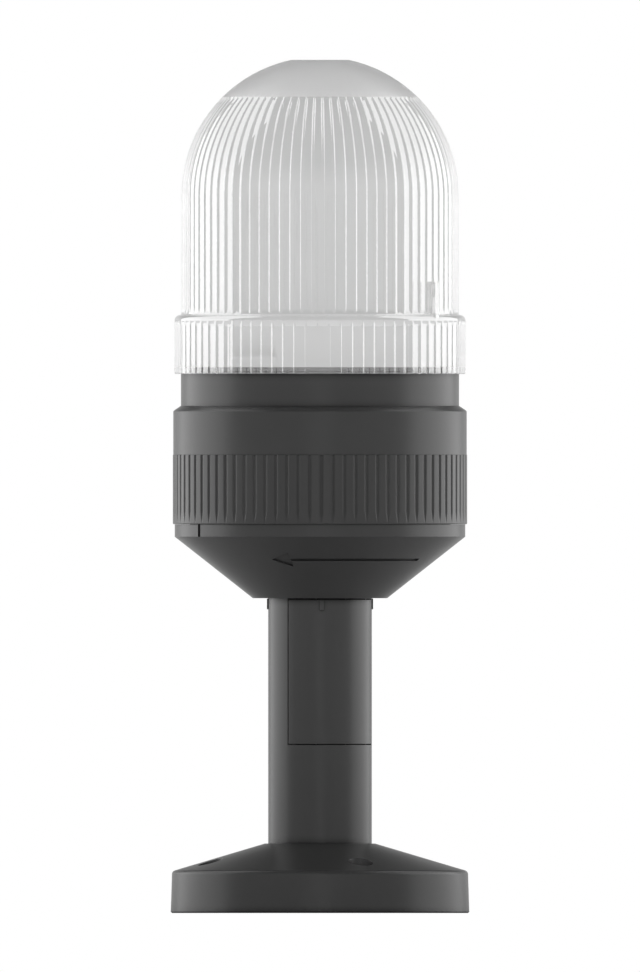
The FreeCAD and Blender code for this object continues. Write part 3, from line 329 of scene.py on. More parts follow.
@dataclass(frozen=True)
class Finish:
    """What every finish has.

    Attributes:
        name: name of the material.
        color: base colour, linear.
        roughness: middle roughness.
    """

    name: str
    color: Color
    roughness: float

    def material(self) -> bpy.types.Material:
        """Return the finish's material, building it the first time."""
        made = bpy.data.materials.get(self.name)
        if made is None:
            made = bpy.data.materials.new(self.name)
            made.use_nodes = True
            sheet = NodeSheet(made.node_tree)
            sheet.add("ShaderNodeOutputMaterial", Surface=self.shader(sheet))
        return made

    def shader(self, sheet: NodeSheet) -> bpy.types.NodeSocket:
        """Build the finish's nodes and return its shader."""
        raise NotImplementedError


@dataclass(frozen=True)
class MouldedPlastic(Finish):
    """A moulded plastic, rubber or resin with a fine grain, softly rounded edges and painted shade in its
    corners.

    Attributes:
        specular: level of its reflections.
        tone: share by which the tone drifts.
        gloss: amount by which the roughness drifts.
        pits: pits of the grain in a metre.
        depth: depth of the pits.
        edge: radius to which the edges look rounded.
        worn: amount by which the roughness falls on the edges.
        painted_shade: share by which the colour is darkened deep in a corner, as painted shade.
        painted_shade_reach: width of the strip of painted shade along a corner.
    """

    specular: float = 0.5
    tone: float = 0.05
    gloss: float = 0.05
    pits: float = 6000.0
    depth: float = 0.01 * MM
    edge: float = 0.12 * MM
    worn: float = 0.08
    # Painted shade: corners and recesses get a darker colour from ambient occlusion.
    painted_shade: float = 0.75
    painted_shade_reach: float = 2.0 * MM

    def shader(self, sheet: NodeSheet) -> bpy.types.NodeSocket:
        """Build the finish's nodes and return its shader."""
        grain = Effect.GRAIN.place(sheet, Pits=self.pits)
        edges = Effect.EDGES.place(sheet, Radius=self.edge, Reach=self.painted_shade_reach)
        rubbed = sheet.math("MULTIPLY", edges["Rubbed"], self.worn)
        bump = sheet.add(
            "ShaderNodeBump",
            Strength=1.0, Distance=self.depth, Height=grain["Height"], Normal=edges["Normal"],
        )
        toned = sheet.blend(grain["Tone"], lighter(self.color, -self.tone), lighter(self.color, self.tone))
        # Painted shade: the colour is darkened where ambient occlusion finds a corner.
        shade_factor = sheet.spread(edges["PaintedShade"], 1.0, 1.0 - self.painted_shade)
        color = sheet.vector_math("MULTIPLY", toned, shade_factor)["Vector"]
        rough = sheet.spread(grain["Gloss"], self.roughness - self.gloss, self.roughness + self.gloss)
        shader = sheet.add(
            "ShaderNodeBsdfPrincipled",
            Base_Color=color,
            Roughness=sheet.math("SUBTRACT", rough, rubbed),
            Specular_IOR_Level=self.specular,
            Normal=bump.outputs["Normal"],
        )
        return shader.outputs["BSDF"]


@dataclass(frozen=True)
class DrawnMetal(Finish):
    """A bare or plated metal with fine lines.

    Attributes:
        tone: share by which the tone drifts from line to line.
        gloss: share by which the roughness drifts from line to line.
        depth: depth of the lines.
    """

    tone: float = 0.12
    gloss: float = 0.3
    depth: float = 0.004 * MM

    def shader(self, sheet: NodeSheet) -> bpy.types.NodeSocket:
        """Build the finish's nodes and return its shader."""
        streaks = Effect.STREAKS.place(sheet)
        bump = sheet.add("ShaderNodeBump", Strength=1.0, Distance=self.depth, Height=streaks["Height"])
        color = sheet.blend(
            streaks["Tone"], lighter(self.color, -self.tone), lighter(self.color, self.tone)
        )
        dull, bright = self.roughness * (1.0 + self.gloss), self.roughness * (1.0 - self.gloss)
        shader = sheet.add(
            "ShaderNodeBsdfPrincipled",
            Base_Color=color,
            Roughness=sheet.spread(streaks["Tone"], bright, dull),
            Metallic=1.0,
            Normal=bump.outputs["Normal"],
        )
        return shader.outputs["BSDF"]


@dataclass(frozen=True)
class ClearMoulding(Finish):
    """Clear plastic or glass that lets light through to what is inside.

    Attributes:
        ior: index of refraction.
        haze: amount by which the roughness drifts.
        ripple: height of the flow waves.
        waves: flow waves in a metre.
        clear: share that is clear; the rest is milky.
        coat: weight of the hard clear coat.
        coat_ior: index of refraction of that coat.
    """

    ior: float = 1.5
    haze: float = 0.01
    ripple: float = 0.002 * MM
    waves: float = 160.0
    clear: float = 1.0
    coat: float = 0.0
    coat_ior: float = 1.6

    def shader(self, sheet: NodeSheet) -> bpy.types.NodeSocket:
        """Build the finish's nodes and return its shader."""
        flow = Effect.FLOW.place(sheet, Waves=self.waves)
        bump = sheet.add("ShaderNodeBump", Strength=1.0, Distance=self.ripple, Height=flow["Height"])
        rough = sheet.spread(flow["Haze"], max(0.0, self.roughness - self.haze), self.roughness + self.haze)
        shader = sheet.add(
            "ShaderNodeBsdfPrincipled",
            Base_Color=(*self.color, 1.0),
            Roughness=rough,
            IOR=self.ior,
            Transmission_Weight=self.clear,
            Coat_Weight=self.coat,
            Coat_IOR=self.coat_ior,
            Normal=bump.outputs["Normal"],
        )
        kept = (1.0 - mirrored(self.ior)) * (1.0 - self.coat * mirrored(self.coat_ior))
        passed = tuple(kept * math.sqrt(channel) for channel in self.color)
        passing = sheet.add("ShaderNodeBsdfTransparent", Color=(*passed, 1.0))
        shadow = sheet.add("ShaderNodeLightPath").outputs["Is Shadow Ray"]
        return sheet.mix_shaders(shadow, shader.outputs["BSDF"], passing.outputs["BSDF"])


DARK_PLASTIC = MouldedPlastic("dark_grey_plastic", (0.073, 0.073, 0.073), 0.3, specular=0.45)
LENS_OUTSIDE = ClearMoulding("clear_lens_outside", (0.91, 0.91, 0.91), 0.04, coat=1.0, coat_ior=2.6)
LENS_CAP = ClearMoulding("satin_lens_cap", (0.74, 0.74, 0.74), 0.3)
LENS_INSIDE = ClearMoulding("frosted_lens_inside", (0.86, 0.86, 0.86), 0.2, haze=0.05, clear=0.35)
SKIRT_INSIDE = ClearMoulding("frosted_skirt_inside", (0.82, 0.82, 0.82), 0.5, ior=1.25, haze=0.05, clear=0.06)
FINISHES: dict[Slot, Finish] = {
    Slot.HOUSING: DARK_PLASTIC,
    Slot.CLEAR: LENS_OUTSIDE,
    Slot.WHITE: MouldedPlastic("white_plastic", (0.72, 0.72, 0.715), 0.45),
    Slot.CARRIER: MouldedPlastic("grey_plastic", (0.25, 0.25, 0.26), 0.5),
    Slot.SEAL: MouldedPlastic("black_rubber", (0.03, 0.03, 0.03), 0.75, specular=0.2, pits=3500.0),
    Slot.SILICONE: MouldedPlastic("pale_silicone", (0.6, 0.6, 0.6), 0.4, pits=2500.0),
    Slot.STEEL: DrawnMetal("zinc_plated_steel", (0.6, 0.6, 0.6), 0.3),
    Slot.BRASS: DrawnMetal("bare_brass", (0.7, 0.52, 0.22), 0.28),
    Slot.LAMINATE: MouldedPlastic("board_laminate", (0.05, 0.2, 0.09), 0.4, tone=0.15, pits=1600.0),
    Slot.SLEEVE: MouldedPlastic("capacitor_sleeve", (0.03, 0.03, 0.05), 0.25, pits=1200.0),
    Slot.RESIN: MouldedPlastic("potted_resin", (0.1, 0.1, 0.11), 0.55, tone=0.12),
    Slot.FILM: MouldedPlastic("dipped_resin", (0.5, 0.12, 0.05), 0.2, pits=900.0),
    Slot.CERAMIC: MouldedPlastic("white_cement", (0.7, 0.69, 0.66), 0.8, pits=4200.0, depth=0.03 * MM),
    Slot.WINDING: DrawnMetal("enamelled_winding", (0.4, 0.17, 0.07), 0.35),
    Slot.GLASS: ClearMoulding("tube_glass", (0.96, 0.96, 0.96), 0.02, ior=1.47),
    Slot.NICKEL: DrawnMetal("bare_nickel", (0.55, 0.54, 0.52), 0.3),
}


class Ring(NamedTuple):
    """One ring of a shell: a plain circle, and how far ribs, flutes or lugs depart from it.

    Attributes:
        radius: radius of the plain circle.
        height: height of that circle.
        tilt: angle of the wall's normal above the horizon.
        depth: depth to which the ribs or flutes are cut, along the normal.
        turn: azimuth in degrees of the first rib or flute.
        reach: reach of the bayonet lugs towards the axis.
        runout: share of the depth by which a flute is shallower at its end.
    """

    radius: float
    height: float
    tilt: float = 0.0
    depth: float = 0.0
    turn: float = 0.0
    reach: float = 0.0
    runout: float = 0.0


@dataclass
class SubAssembly:
    """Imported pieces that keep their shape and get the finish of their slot.

    Attributes:
        nodes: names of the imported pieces.
    """

    nodes: tuple[str, ...] = ()

    def build(self) -> None:
        """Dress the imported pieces."""
        slots = {row["node"]: Slot(row["material_slot"]) for row in frame["record"]["subparts"]}
        for name in self.nodes:
            piece = frame["nodes"][name]
            finish = FINISHES[slots[name]]
            piece.data.materials.clear()
            piece.data.materials.append(finish.material())
            log.info("%s: %s", name, finish.name)


@dataclass
class TurnedShell(SubAssembly):
    """A sub-assembly with a turned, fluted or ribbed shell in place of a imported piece.

    Attributes:
        count: ribs or flutes round the shell.
        phases: places of the columns of one rib, in shares of its pitch.
        lug_azimuths: azimuths in degrees of the bayonet lugs.
        lug_span: angle in degrees of a lug.
        lug_taper: angle in degrees over which a lug rises at its ends.
        sharp: angle in degrees from which an edge looks sharp.
    """

    count: int = 80
    phases: tuple[float, ...] = (0.0,)
    lug_azimuths: tuple[float, ...] = (90.0, 210.0, 330.0)
    lug_span: float = 24.0
    lug_taper: float = 1.5
    sharp: float = 32.0

    def columns(self) -> np.ndarray:
        """Return the azimuths in degrees of all columns, before a ring is turned."""
        pitch = 360.0 / self.count
        return (np.arange(self.count)[:, None] + np.array(self.phases)[None, :]).ravel() * pitch

    def cut(self, phase: np.ndarray) -> np.ndarray:
        """Return how deep a rib or flute is cut at its phases, as a share of its depth."""
        raise NotImplementedError

    def apart(self, azimuths: np.ndarray, middle: float) -> np.ndarray:
        """Return the angles in degrees between azimuths and a middle one."""
        return np.abs((azimuths - middle + 180.0) % 360.0 - 180.0)

    def place(self, azimuths: np.ndarray, radius: object, height: object) -> np.ndarray:
        """Return the points at azimuths in degrees, radii and heights."""
        turn = np.radians(azimuths)
        points = np.empty((len(azimuths), 3))
        points[:, 0] = radius * np.sin(turn)
        points[:, 1] = -radius * np.cos(turn)
        points[:, 2] = height
        return points

    def circle(self, ring: Ring) -> np.ndarray:
        """Return the points of one ring.

        Args:
            ring: the ring.

        Returns:
            One point a column.
        """
        azimuths = self.columns() + ring.turn
        share = self.cut(np.tile(np.array(self.phases), self.count))
        inward = ring.depth * np.clip(share - ring.runout, 0.0, None)
        for azimuth in self.lug_azimuths:
            away = self.apart(azimuths, azimuth)
            inward += ring.reach * np.clip((self.lug_span / 2 - away) / self.lug_taper, 0.0, 1.0)
        return self.place(
            azimuths, ring.radius - inward * math.cos(ring.tilt), ring.height - inward * math.sin(ring.tilt)
        )

    def shell(
        self, name: str, circles: list[np.ndarray], finishes: list[Finish], coats: list[Finish]
    ) -> bpy.types.Object:
        """Join rings to a closed shell, from a middle point over the rings to a second middle point.

        Args:
            name: name of the object.
            circles: points of the rings, in order along the wall.
            finishes: the finishes of its surface, the first one from its slot.
            coats: the finish of the faces before the first ring and after each ring.

        Returns:
            The object, linked to the scene.
        """
        columns = len(circles[0])
        after = (np.arange(columns) + 1) % columns
        here = np.arange(columns)
        points = np.concatenate([*circles, [[0, 0, circles[0][0, 2]]], [[0, 0, circles[-1][0, 2]]]])
        tip = len(points) - 2
        faces = [(tip, second, first) for first, second in zip(here, after)]
        for row in range(len(circles) - 1):
            low, high = row * columns, (row + 1) * columns
            faces += np.stack([low + here, low + after, high + after, high + here], axis=1).tolist()
        last = (len(circles) - 1) * columns
        faces += [(last + first, last + second, tip + 1) for first, second in zip(here, after)]
        mesh = bpy.data.meshes.new(name)
        mesh.from_pydata(points.tolist(), [], faces)
        indices = np.array([finishes.index(coat) for coat in coats], dtype=np.int32)
        mesh.polygons.foreach_set("material_index", np.repeat(indices, columns))
        mesh.polygons.foreach_set("use_smooth", np.ones(len(faces), dtype=bool))
        mesh.set_sharp_from_angle(angle=math.radians(self.sharp))
        for finish in finishes:
            mesh.materials.append(finish.material())
        return put_in_scene(name, mesh)

    def hand_over(self, piece: bpy.types.Object, body: Body, node: str, slot: Slot) -> None:
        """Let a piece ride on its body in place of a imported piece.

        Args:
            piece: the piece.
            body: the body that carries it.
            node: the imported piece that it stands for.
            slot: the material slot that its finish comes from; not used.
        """
        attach(piece, body.value)
        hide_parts(node)
        log.info("%s: %d faces", piece.name, len(piece.data.polygons))


@dataclass
class Foot(SubAssembly):
    """The round foot with its gasket and the screws that hold the pole."""

    nodes: tuple[str, ...] = ("mounting_foot", "foot_gasket", "pole_foot_screws")


@dataclass
class Pole(SubAssembly):
    """The hollow pole, the cover of its window and the screws into the adapter."""

    nodes: tuple[str, ...] = ("pole_tube", "pole_cover", "pole_adapter_screws")


@dataclass
class Adapter(SubAssembly):
    """The conical adapter with its seal, its terminals and its contact springs."""

    nodes: tuple[str, ...] = (
        "cone_adapter", "joint_seal", "terminal_carrier", "terminal_clamp_1", "terminal_clamp_2",
        "terminal_screws", "contact_spring_1", "contact_spring_2",
    )


@dataclass
class FlashModule(TurnedShell):
    """The flash module: a fluted housing, and the pieces that stand in it.

    Attributes:
        grip_radius: radius of the grip band.
        grip_height: height of the grip band.
        flute_depth: depth of a flute.
        flute_span: width of a flute, as a share of its pitch.
        flute_turn: azimuth in degrees of the first flute.
        flute_runout: length over which a flute runs out at the bottom.
        runout_shares: places of the rings along that length, as shares of it.
        band_radius: radius of the plain band.
        band_height: height of the plain band.
        band_edge: rise of the soft edge on top of the plain band.
        neck_radius: radius of the neck.
        neck_chamfer: height of the chamfer under the neck.
        well_radius: radius of the well that takes the adapter's spigot.
        lug_reach: reach of the bayonet lugs in that well.
        lug_low: height of the lugs above the lower edge.
        lug_height: height of a lug.
        floor_low: height of the floor above the lower edge.
        floor_thickness: thickness of the floor.
        chamber_radius: radius of the space for the circuit board.
        ledge_radius: radius inside the ledge under the lamp tray.
        ledge_depth: depth of the ledge below the neck's top.
        neck_bore: radius inside the neck.
        soft: chamfer of the edges.
        seam: reach of the lower edge towards the adapter's rim, which leaves a hair line.
    """

    nodes: tuple[str, ...] = (
        "contact_pin_1", "contact_pin_2", "circuit_board", "board_screws", "flash_capacitor",
        "trigger_transformer", "film_capacitor", "power_resistor", "charging_choke", "lamp_tray",
        "lens_seal", "tube_pedestal", "flash_tube", "tube_electrodes", "trigger_wire", "tube_leads",
    )
    phases: tuple[float, ...] = (
        -0.34, -0.24, -0.2, -0.16, -0.12, -0.08, -0.04, 0.0, 0.04, 0.08, 0.12, 0.16, 0.2, 0.24, 0.34, 0.5
    )
    grip_radius: float = 34.5 * MM
    grip_height: float = 16.2 * MM
    flute_depth: float = 0.3 * MM
    flute_span: float = 0.46
    flute_turn: float = 0.52
    flute_runout: float = 3.0 * MM
    runout_shares: tuple[float, ...] = (0.05, 0.15, 0.28, 0.42, 0.56, 0.7, 0.85, 1.0)
    band_radius: float = 34.4 * MM
    band_height: float = 10.3 * MM
    band_edge: float = 0.09 * MM
    neck_radius: float = 32.6 * MM
    neck_chamfer: float = 1.2 * MM
    well_radius: float = 32.2 * MM
    lug_reach: float = 1.4 * MM
    lug_low: float = 0.6 * MM
    lug_height: float = 2.2 * MM
    floor_low: float = 9.8 * MM
    floor_thickness: float = 2.0 * MM
    chamber_radius: float = 31.6 * MM
    ledge_radius: float = 29.4 * MM
    ledge_depth: float = 2.4 * MM
    neck_bore: float = 30.6 * MM
    soft: float = 0.15 * MM
    seam: float = 0.07 * MM

    def cut(self, phase: np.ndarray) -> np.ndarray:
        """Return how deep a flute is cut at its phases: a round hollow between wide lands."""
        inside = np.abs(phase) < self.flute_span / 2
        return np.where(inside, np.cos(np.pi * phase / self.flute_span) ** 2, 0.0)

    def rings(self) -> list[Ring]:
        """Return the rings of the housing, from under its floor round its lower edge to the floor's top."""
        low, high = (corner.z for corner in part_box("module_housing"))
        lug_low = low + self.lug_low
        lug_high = lug_low + self.lug_height
        floor_low = low + self.floor_low
        floor_high = floor_low + self.floor_thickness
        band_low = low + self.grip_height
        band_high = band_low + self.band_height
        neck_low = band_high + self.neck_chamfer
        ledge_high = high - self.ledge_depth
        slope_low = band_high - (self.chamber_radius - self.ledge_radius)
        rings = [
            Ring(self.well_radius, floor_low),
            Ring(self.well_radius, lug_high),
            Ring(self.well_radius, lug_high - self.soft, reach=self.lug_reach),
            Ring(self.well_radius, lug_low + self.soft, reach=self.lug_reach),
            Ring(self.well_radius, lug_low),
            Ring(self.well_radius, low),
            Ring(self.grip_radius - self.soft, low - self.seam),
        ]
        for share in self.runout_shares:
            height = low + share * self.flute_runout
            rings.append(Ring(
                self.grip_radius, height, depth=self.flute_depth, turn=self.flute_turn, runout=1.0 - share
            ))
        return rings + [
            Ring(self.grip_radius, band_low, depth=self.flute_depth, turn=self.flute_turn),
            Ring(self.band_radius, band_low),
            Ring(self.band_radius, band_high - self.soft),
            Ring(self.band_radius - self.soft, band_high + self.band_edge),
            Ring(self.neck_radius, neck_low),
            Ring(self.neck_radius, high - self.soft),
            Ring(self.neck_radius - self.soft, high),
            Ring(self.neck_bore, high),
            Ring(self.neck_bore, ledge_high),
            Ring(self.ledge_radius, ledge_high),
            Ring(self.ledge_radius, band_high),
            Ring(self.chamber_radius, slope_low),
            Ring(self.chamber_radius, floor_high),
        ]

    def build(self) -> None:
        """Build the fluted housing and dress the pieces in it."""
        circles = [self.circle(ring) for ring in self.rings()]
        coats = [DARK_PLASTIC] * (len(circles) + 1)
        piece = self.shell("fluted_housing", circles, [DARK_PLASTIC], coats)
        self.hand_over(piece, Body.MODULE, "module_housing", Slot.HOUSING)
        super().build()


@dataclass
class Lens(TurnedShell):
    """The clear lens: ribbed skirt, shoulder, ribbed barrel and dome, plain cap and index rib.

    Attributes:
        rib_span: width of a rib's round bead, as a share of its pitch.
        rib_depth: height of a rib over the plain strips.
        inner_depth: height of a rib inside the barrel.
        skirt_turn: azimuth in degrees of the first rib of the skirt.
        barrel_turn: azimuth in degrees of the first rib of the barrel and the dome.
        inner_barrel_turn: the same inside the barrel.
        lip: chamfer of the skirt's lower edge.
        skirt_height: height of the skirt.
        arch: length over which the ribs run out at the shoulder.
        arch_shares: places of the rings along the run-out under the shoulder, as shares of its length.
        start_shares: the same where the ribs start above the shoulder.
        shoulder_step: barrel inside the skirt, on the radius.
        shoulder_height: height of the shoulder.
        shoulder_angles: angles in degrees of the rings round the shoulder.
        fillet: hollow fillet between shoulder and barrel.
        fillet_angles: angles in degrees of the rings in the fillet.
        barrel_height: height of the barrel.
        cap_latitude: latitude in degrees at which the ribs end.
        runout: angle in degrees over which they run out.
        top_latitude: latitude in degrees of the flat top.
        ribbed_rings: rings of the ribbed dome.
        cap_rings: rings of the plain cap.
        inner_latitudes: first and last latitude in degrees of the rings inside the dome.
        inner_dome_rings: rings inside the dome.
        wall: wall with the ribs.
        seat_bore: radius of the bore that slips over the neck.
        seat_lift: height of the seat above the lower edge.
        lug_reach: reach of the bayonet lugs into the bore.
        lug_lift: height of the lugs above the seat.
        lug_height: height of a lug.
        lug_round: height over which a lug rises at its lower and upper edge.
        index_azimuth: azimuth in degrees of the index rib.
        index_width: width of the index rib.
        index_reach: reach of the index rib outside the barrel.
        index_height: height of the index rib above the skirt.
        index_draft: share by which the index rib is wider at its root.
    """

    phases: tuple[float, ...] = (
        -0.36, -0.22, -0.165, -0.11, -0.055, 0.0, 0.055, 0.11, 0.165, 0.22, 0.36, 0.5
    )
    rib_span: float = 0.44
    rib_depth: float = 0.3 * MM
    inner_depth: float = 0.2 * MM
    skirt_turn: float = -0.95
    barrel_turn: float = 1.37
    inner_barrel_turn: float = 2.75
    lip: float = 0.15 * MM
    skirt_height: float = 12.5 * MM
    arch: float = 1.3 * MM
    arch_shares: tuple[float, ...] = (0.3, 0.55, 0.75, 0.9, 0.97, 1.0)
    start_shares: tuple[float, ...] = (0.1, 0.3, 0.6, 1.0)
    shoulder_step: float = 1.6 * MM
    shoulder_height: float = 1.3 * MM
    shoulder_angles: tuple[float, ...] = (20.0, 40.0, 60.0, 80.0)
    fillet: float = 0.3 * MM
    fillet_angles: tuple[float, ...] = (70.0, 40.0, 10.0)
    barrel_height: float = 28.0 * MM
    cap_latitude: float = 45.4
    runout: float = 1.0
    top_latitude: float = 78.0
    ribbed_rings: int = 19
    cap_rings: int = 10
    inner_latitudes: tuple[float, float] = (1.5, 88.0)
    inner_dome_rings: int = 16
    wall: float = 2.3 * MM
    seat_bore: float = 32.85 * MM
    seat_lift: float = 1.6 * MM
    lug_reach: float = 1.1 * MM
    lug_lift: float = 1.2 * MM
    lug_height: float = 2.2 * MM
    lug_round: float = 0.8 * MM
    lug_taper: float = 4.0
    sharp: float = 62.0
    index_azimuth: float = 54.0
    index_width: float = 1.5 * MM
    index_reach: float = 1.5 * MM
    index_height: float = 9.0 * MM
    index_draft: float = 0.01

    def __post_init__(self) -> None:
        """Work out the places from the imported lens."""
        low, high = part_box("lens")
        self.low = low.z
        self.skirt_radius = high.x
        self.radius = self.skirt_radius - self.shoulder_step
        self.bore = self.radius - self.wall
        self.shoulder_low = self.low + self.skirt_height
        self.barrel_low = self.shoulder_low + self.shoulder_height
        self.dome_low = self.barrel_low + self.barrel_height

    def cut(self, phase: np.ndarray) -> np.ndarray:
        """Return how deep the outside is cut at a rib's phases: a narrow round bead, a wide plain strip."""
        inside = np.abs(phase) < self.rib_span / 2
        return np.where(inside, np.sin(np.pi * phase / self.rib_span) ** 2, 1.0)

    def skirt_rings(self) -> list[Ring]:
        """Return the rings of the skirt, whose ribs run out in arches under the shoulder."""
        radius, turn = self.skirt_radius, self.skirt_turn
        arch_low = self.shoulder_low - self.arch
        # Two rings close together at either end keep the shading of the wall between them upright.
        heights = (self.low + self.lip, self.low + 2 * self.lip, arch_low - self.lip, arch_low)
        rings = [Ring(radius - self.lip, self.low, depth=self.rib_depth, turn=turn)]
        rings += [Ring(radius, height, depth=self.rib_depth, turn=turn) for height in heights]
        for share in self.arch_shares:
            depth = self.rib_depth * (1.0 - share ** 2)
            rings.append(Ring(radius, arch_low + share * self.arch, depth=depth, turn=turn))
        return rings

    def shoulder_rings(self) -> list[Ring]:
        """Return the rings of the rounded shoulder and of the fillet above it."""
        reach = self.shoulder_step - self.fillet
        rings = []
        for angle in np.radians(self.shoulder_angles):
            radius = self.radius + self.fillet + reach * math.cos(angle)
            rings.append(Ring(radius, self.shoulder_low + self.shoulder_height * math.sin(angle), angle))
        for angle in np.radians(self.fillet_angles):
            radius = self.radius + self.fillet * (1.0 - math.cos(angle))
            rings.append(Ring(radius, self.barrel_low + self.fillet * (1.0 - math.sin(angle)), angle))
        turns = np.linspace(self.skirt_turn, self.barrel_turn, len(rings) + 2)[1:-1]
        return [ring._replace(turn=turn) for ring, turn in zip(rings, turns)]

    def barrel_rings(self) -> list[Ring]:
        """Return the rings of the barrel, whose ribs run in above the shoulder."""
        start = self.barrel_low + self.fillet
        index_top = self.shoulder_low + self.index_height
        rings = []
        for share in self.start_shares:
            depth = self.rib_depth * (1.0 - (1.0 - share) ** 2)
            rings.append(Ring(self.radius, start + share * self.arch, depth=depth))
        for height in (index_top, index_top + self.lip):
            rings.append(Ring(self.radius, height, depth=self.rib_depth))
        return [ring._replace(turn=self.barrel_turn) for ring in rings]

    def dome_rings(self) -> list[Ring]:
        """Return the rings of the ribbed dome and of the plain cap."""
        ribbed = np.linspace(0.0, self.cap_latitude - self.runout, self.ribbed_rings)
        plain = np.linspace(self.cap_latitude, self.top_latitude, self.cap_rings)
        rings = []
        for latitude in np.radians(np.concatenate([ribbed, plain])):
            inward = math.cos(latitude)
            depth = self.rib_depth if latitude < math.radians(self.cap_latitude) else 0.0
            height = self.dome_low + self.radius * math.sin(latitude)
            rings.append(Ring(self.radius * inward, height, latitude, depth, self.barrel_turn))
        return rings

    def inner_rings(self) -> list[Ring]:
        """Return the rings of the inside, from near the top down to the lower edge."""
        seat = self.low + self.seat_lift
        skirt_bore = self.skirt_radius - self.wall
        lug_low = seat + self.lug_lift
        lug_high = lug_low + self.lug_height
        bore_high = self.shoulder_low - self.shoulder_height
        skirt, barrel, depth = self.skirt_turn, self.inner_barrel_turn, -self.inner_depth
        rings = [
            Ring(self.seat_bore, self.low, turn=skirt),
            Ring(self.seat_bore, seat, turn=skirt),
            Ring(skirt_bore, seat, turn=skirt),
            Ring(skirt_bore, lug_low, turn=skirt),
            Ring(skirt_bore, lug_low + self.lug_round, turn=skirt, reach=self.lug_reach),
            Ring(skirt_bore, lug_high - self.lug_round, turn=skirt, reach=self.lug_reach),
            Ring(skirt_bore, lug_high, turn=skirt),
            Ring(skirt_bore, bore_high, turn=skirt),
            Ring(self.bore, self.barrel_low, turn=barrel),
            Ring(self.bore, self.barrel_low + self.seat_lift, turn=barrel),
            Ring(self.bore, self.barrel_low + self.seat_lift + self.arch, depth=depth, turn=barrel),
            Ring(self.bore, self.dome_low, depth=depth, turn=barrel),
        ]
        for latitude in np.radians(np.linspace(*self.inner_latitudes, self.inner_dome_rings)):
            height = self.dome_low + self.bore * math.sin(latitude)
            rings.append(Ring(self.bore * math.cos(latitude), height, latitude, turn=barrel))
        return rings[::-1]

    def raise_index(self, ring: Ring, points: np.ndarray) -> None:
        """Raise the index rib out of a ring that crosses it.

        Args:
            ring: the ring.
            points: its points, which are moved.
        """
        azimuths = self.columns() + ring.turn
        half = math.degrees(self.index_width / 2 / self.radius)
        raised = np.flatnonzero(self.apart(azimuths, self.index_azimuth) <= half)
        reach = self.radius + self.index_reach
        ends = np.clip(azimuths[raised] - self.index_azimuth, -half, half) + self.index_azimuth
        ends[0], ends[-1] = self.index_azimuth - half, self.index_azimuth + half
        points[raised] = self.place(ends, reach, points[raised, 2])
        root = half * (1.0 + self.index_draft)
        for column, side in ((raised[0] - 1, -root), (raised[-1] + 1, root)):
            radius = np.hypot(*points[column, :2])
            points[column] = self.place(np.array([self.index_azimuth + side]), radius, points[column, 2])[0]

    def build(self) -> None:
        """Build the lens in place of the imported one."""
        inner = self.inner_rings()
        outer = [*self.skirt_rings(), *self.shoulder_rings(), *self.barrel_rings(), *self.dome_rings()]
        circles = [self.circle(ring) for ring in inner]
        for ring in outer:
            points = self.circle(ring)
            if self.shoulder_low <= ring.height <= self.shoulder_low + self.index_height:
                self.raise_index(ring, points)
            circles.append(points)
        finishes = [LENS_OUTSIDE, LENS_INSIDE, LENS_CAP, SKIRT_INSIDE]
        frosted, clear = inner[:-2], [*inner[-2:], *outer[:-self.cap_rings]]
        coats = [LENS_INSIDE]
        coats += [LENS_INSIDE if ring.height > self.barrel_low else SKIRT_INSIDE for ring in frosted]
        coats += [LENS_OUTSIDE] * len(clear) + [LENS_CAP] * self.cap_rings
        piece = self.shell("ribbed_lens", circles, finishes, coats)
        self.hand_over(piece, Body.LENS, "lens", Slot.CLEAR)


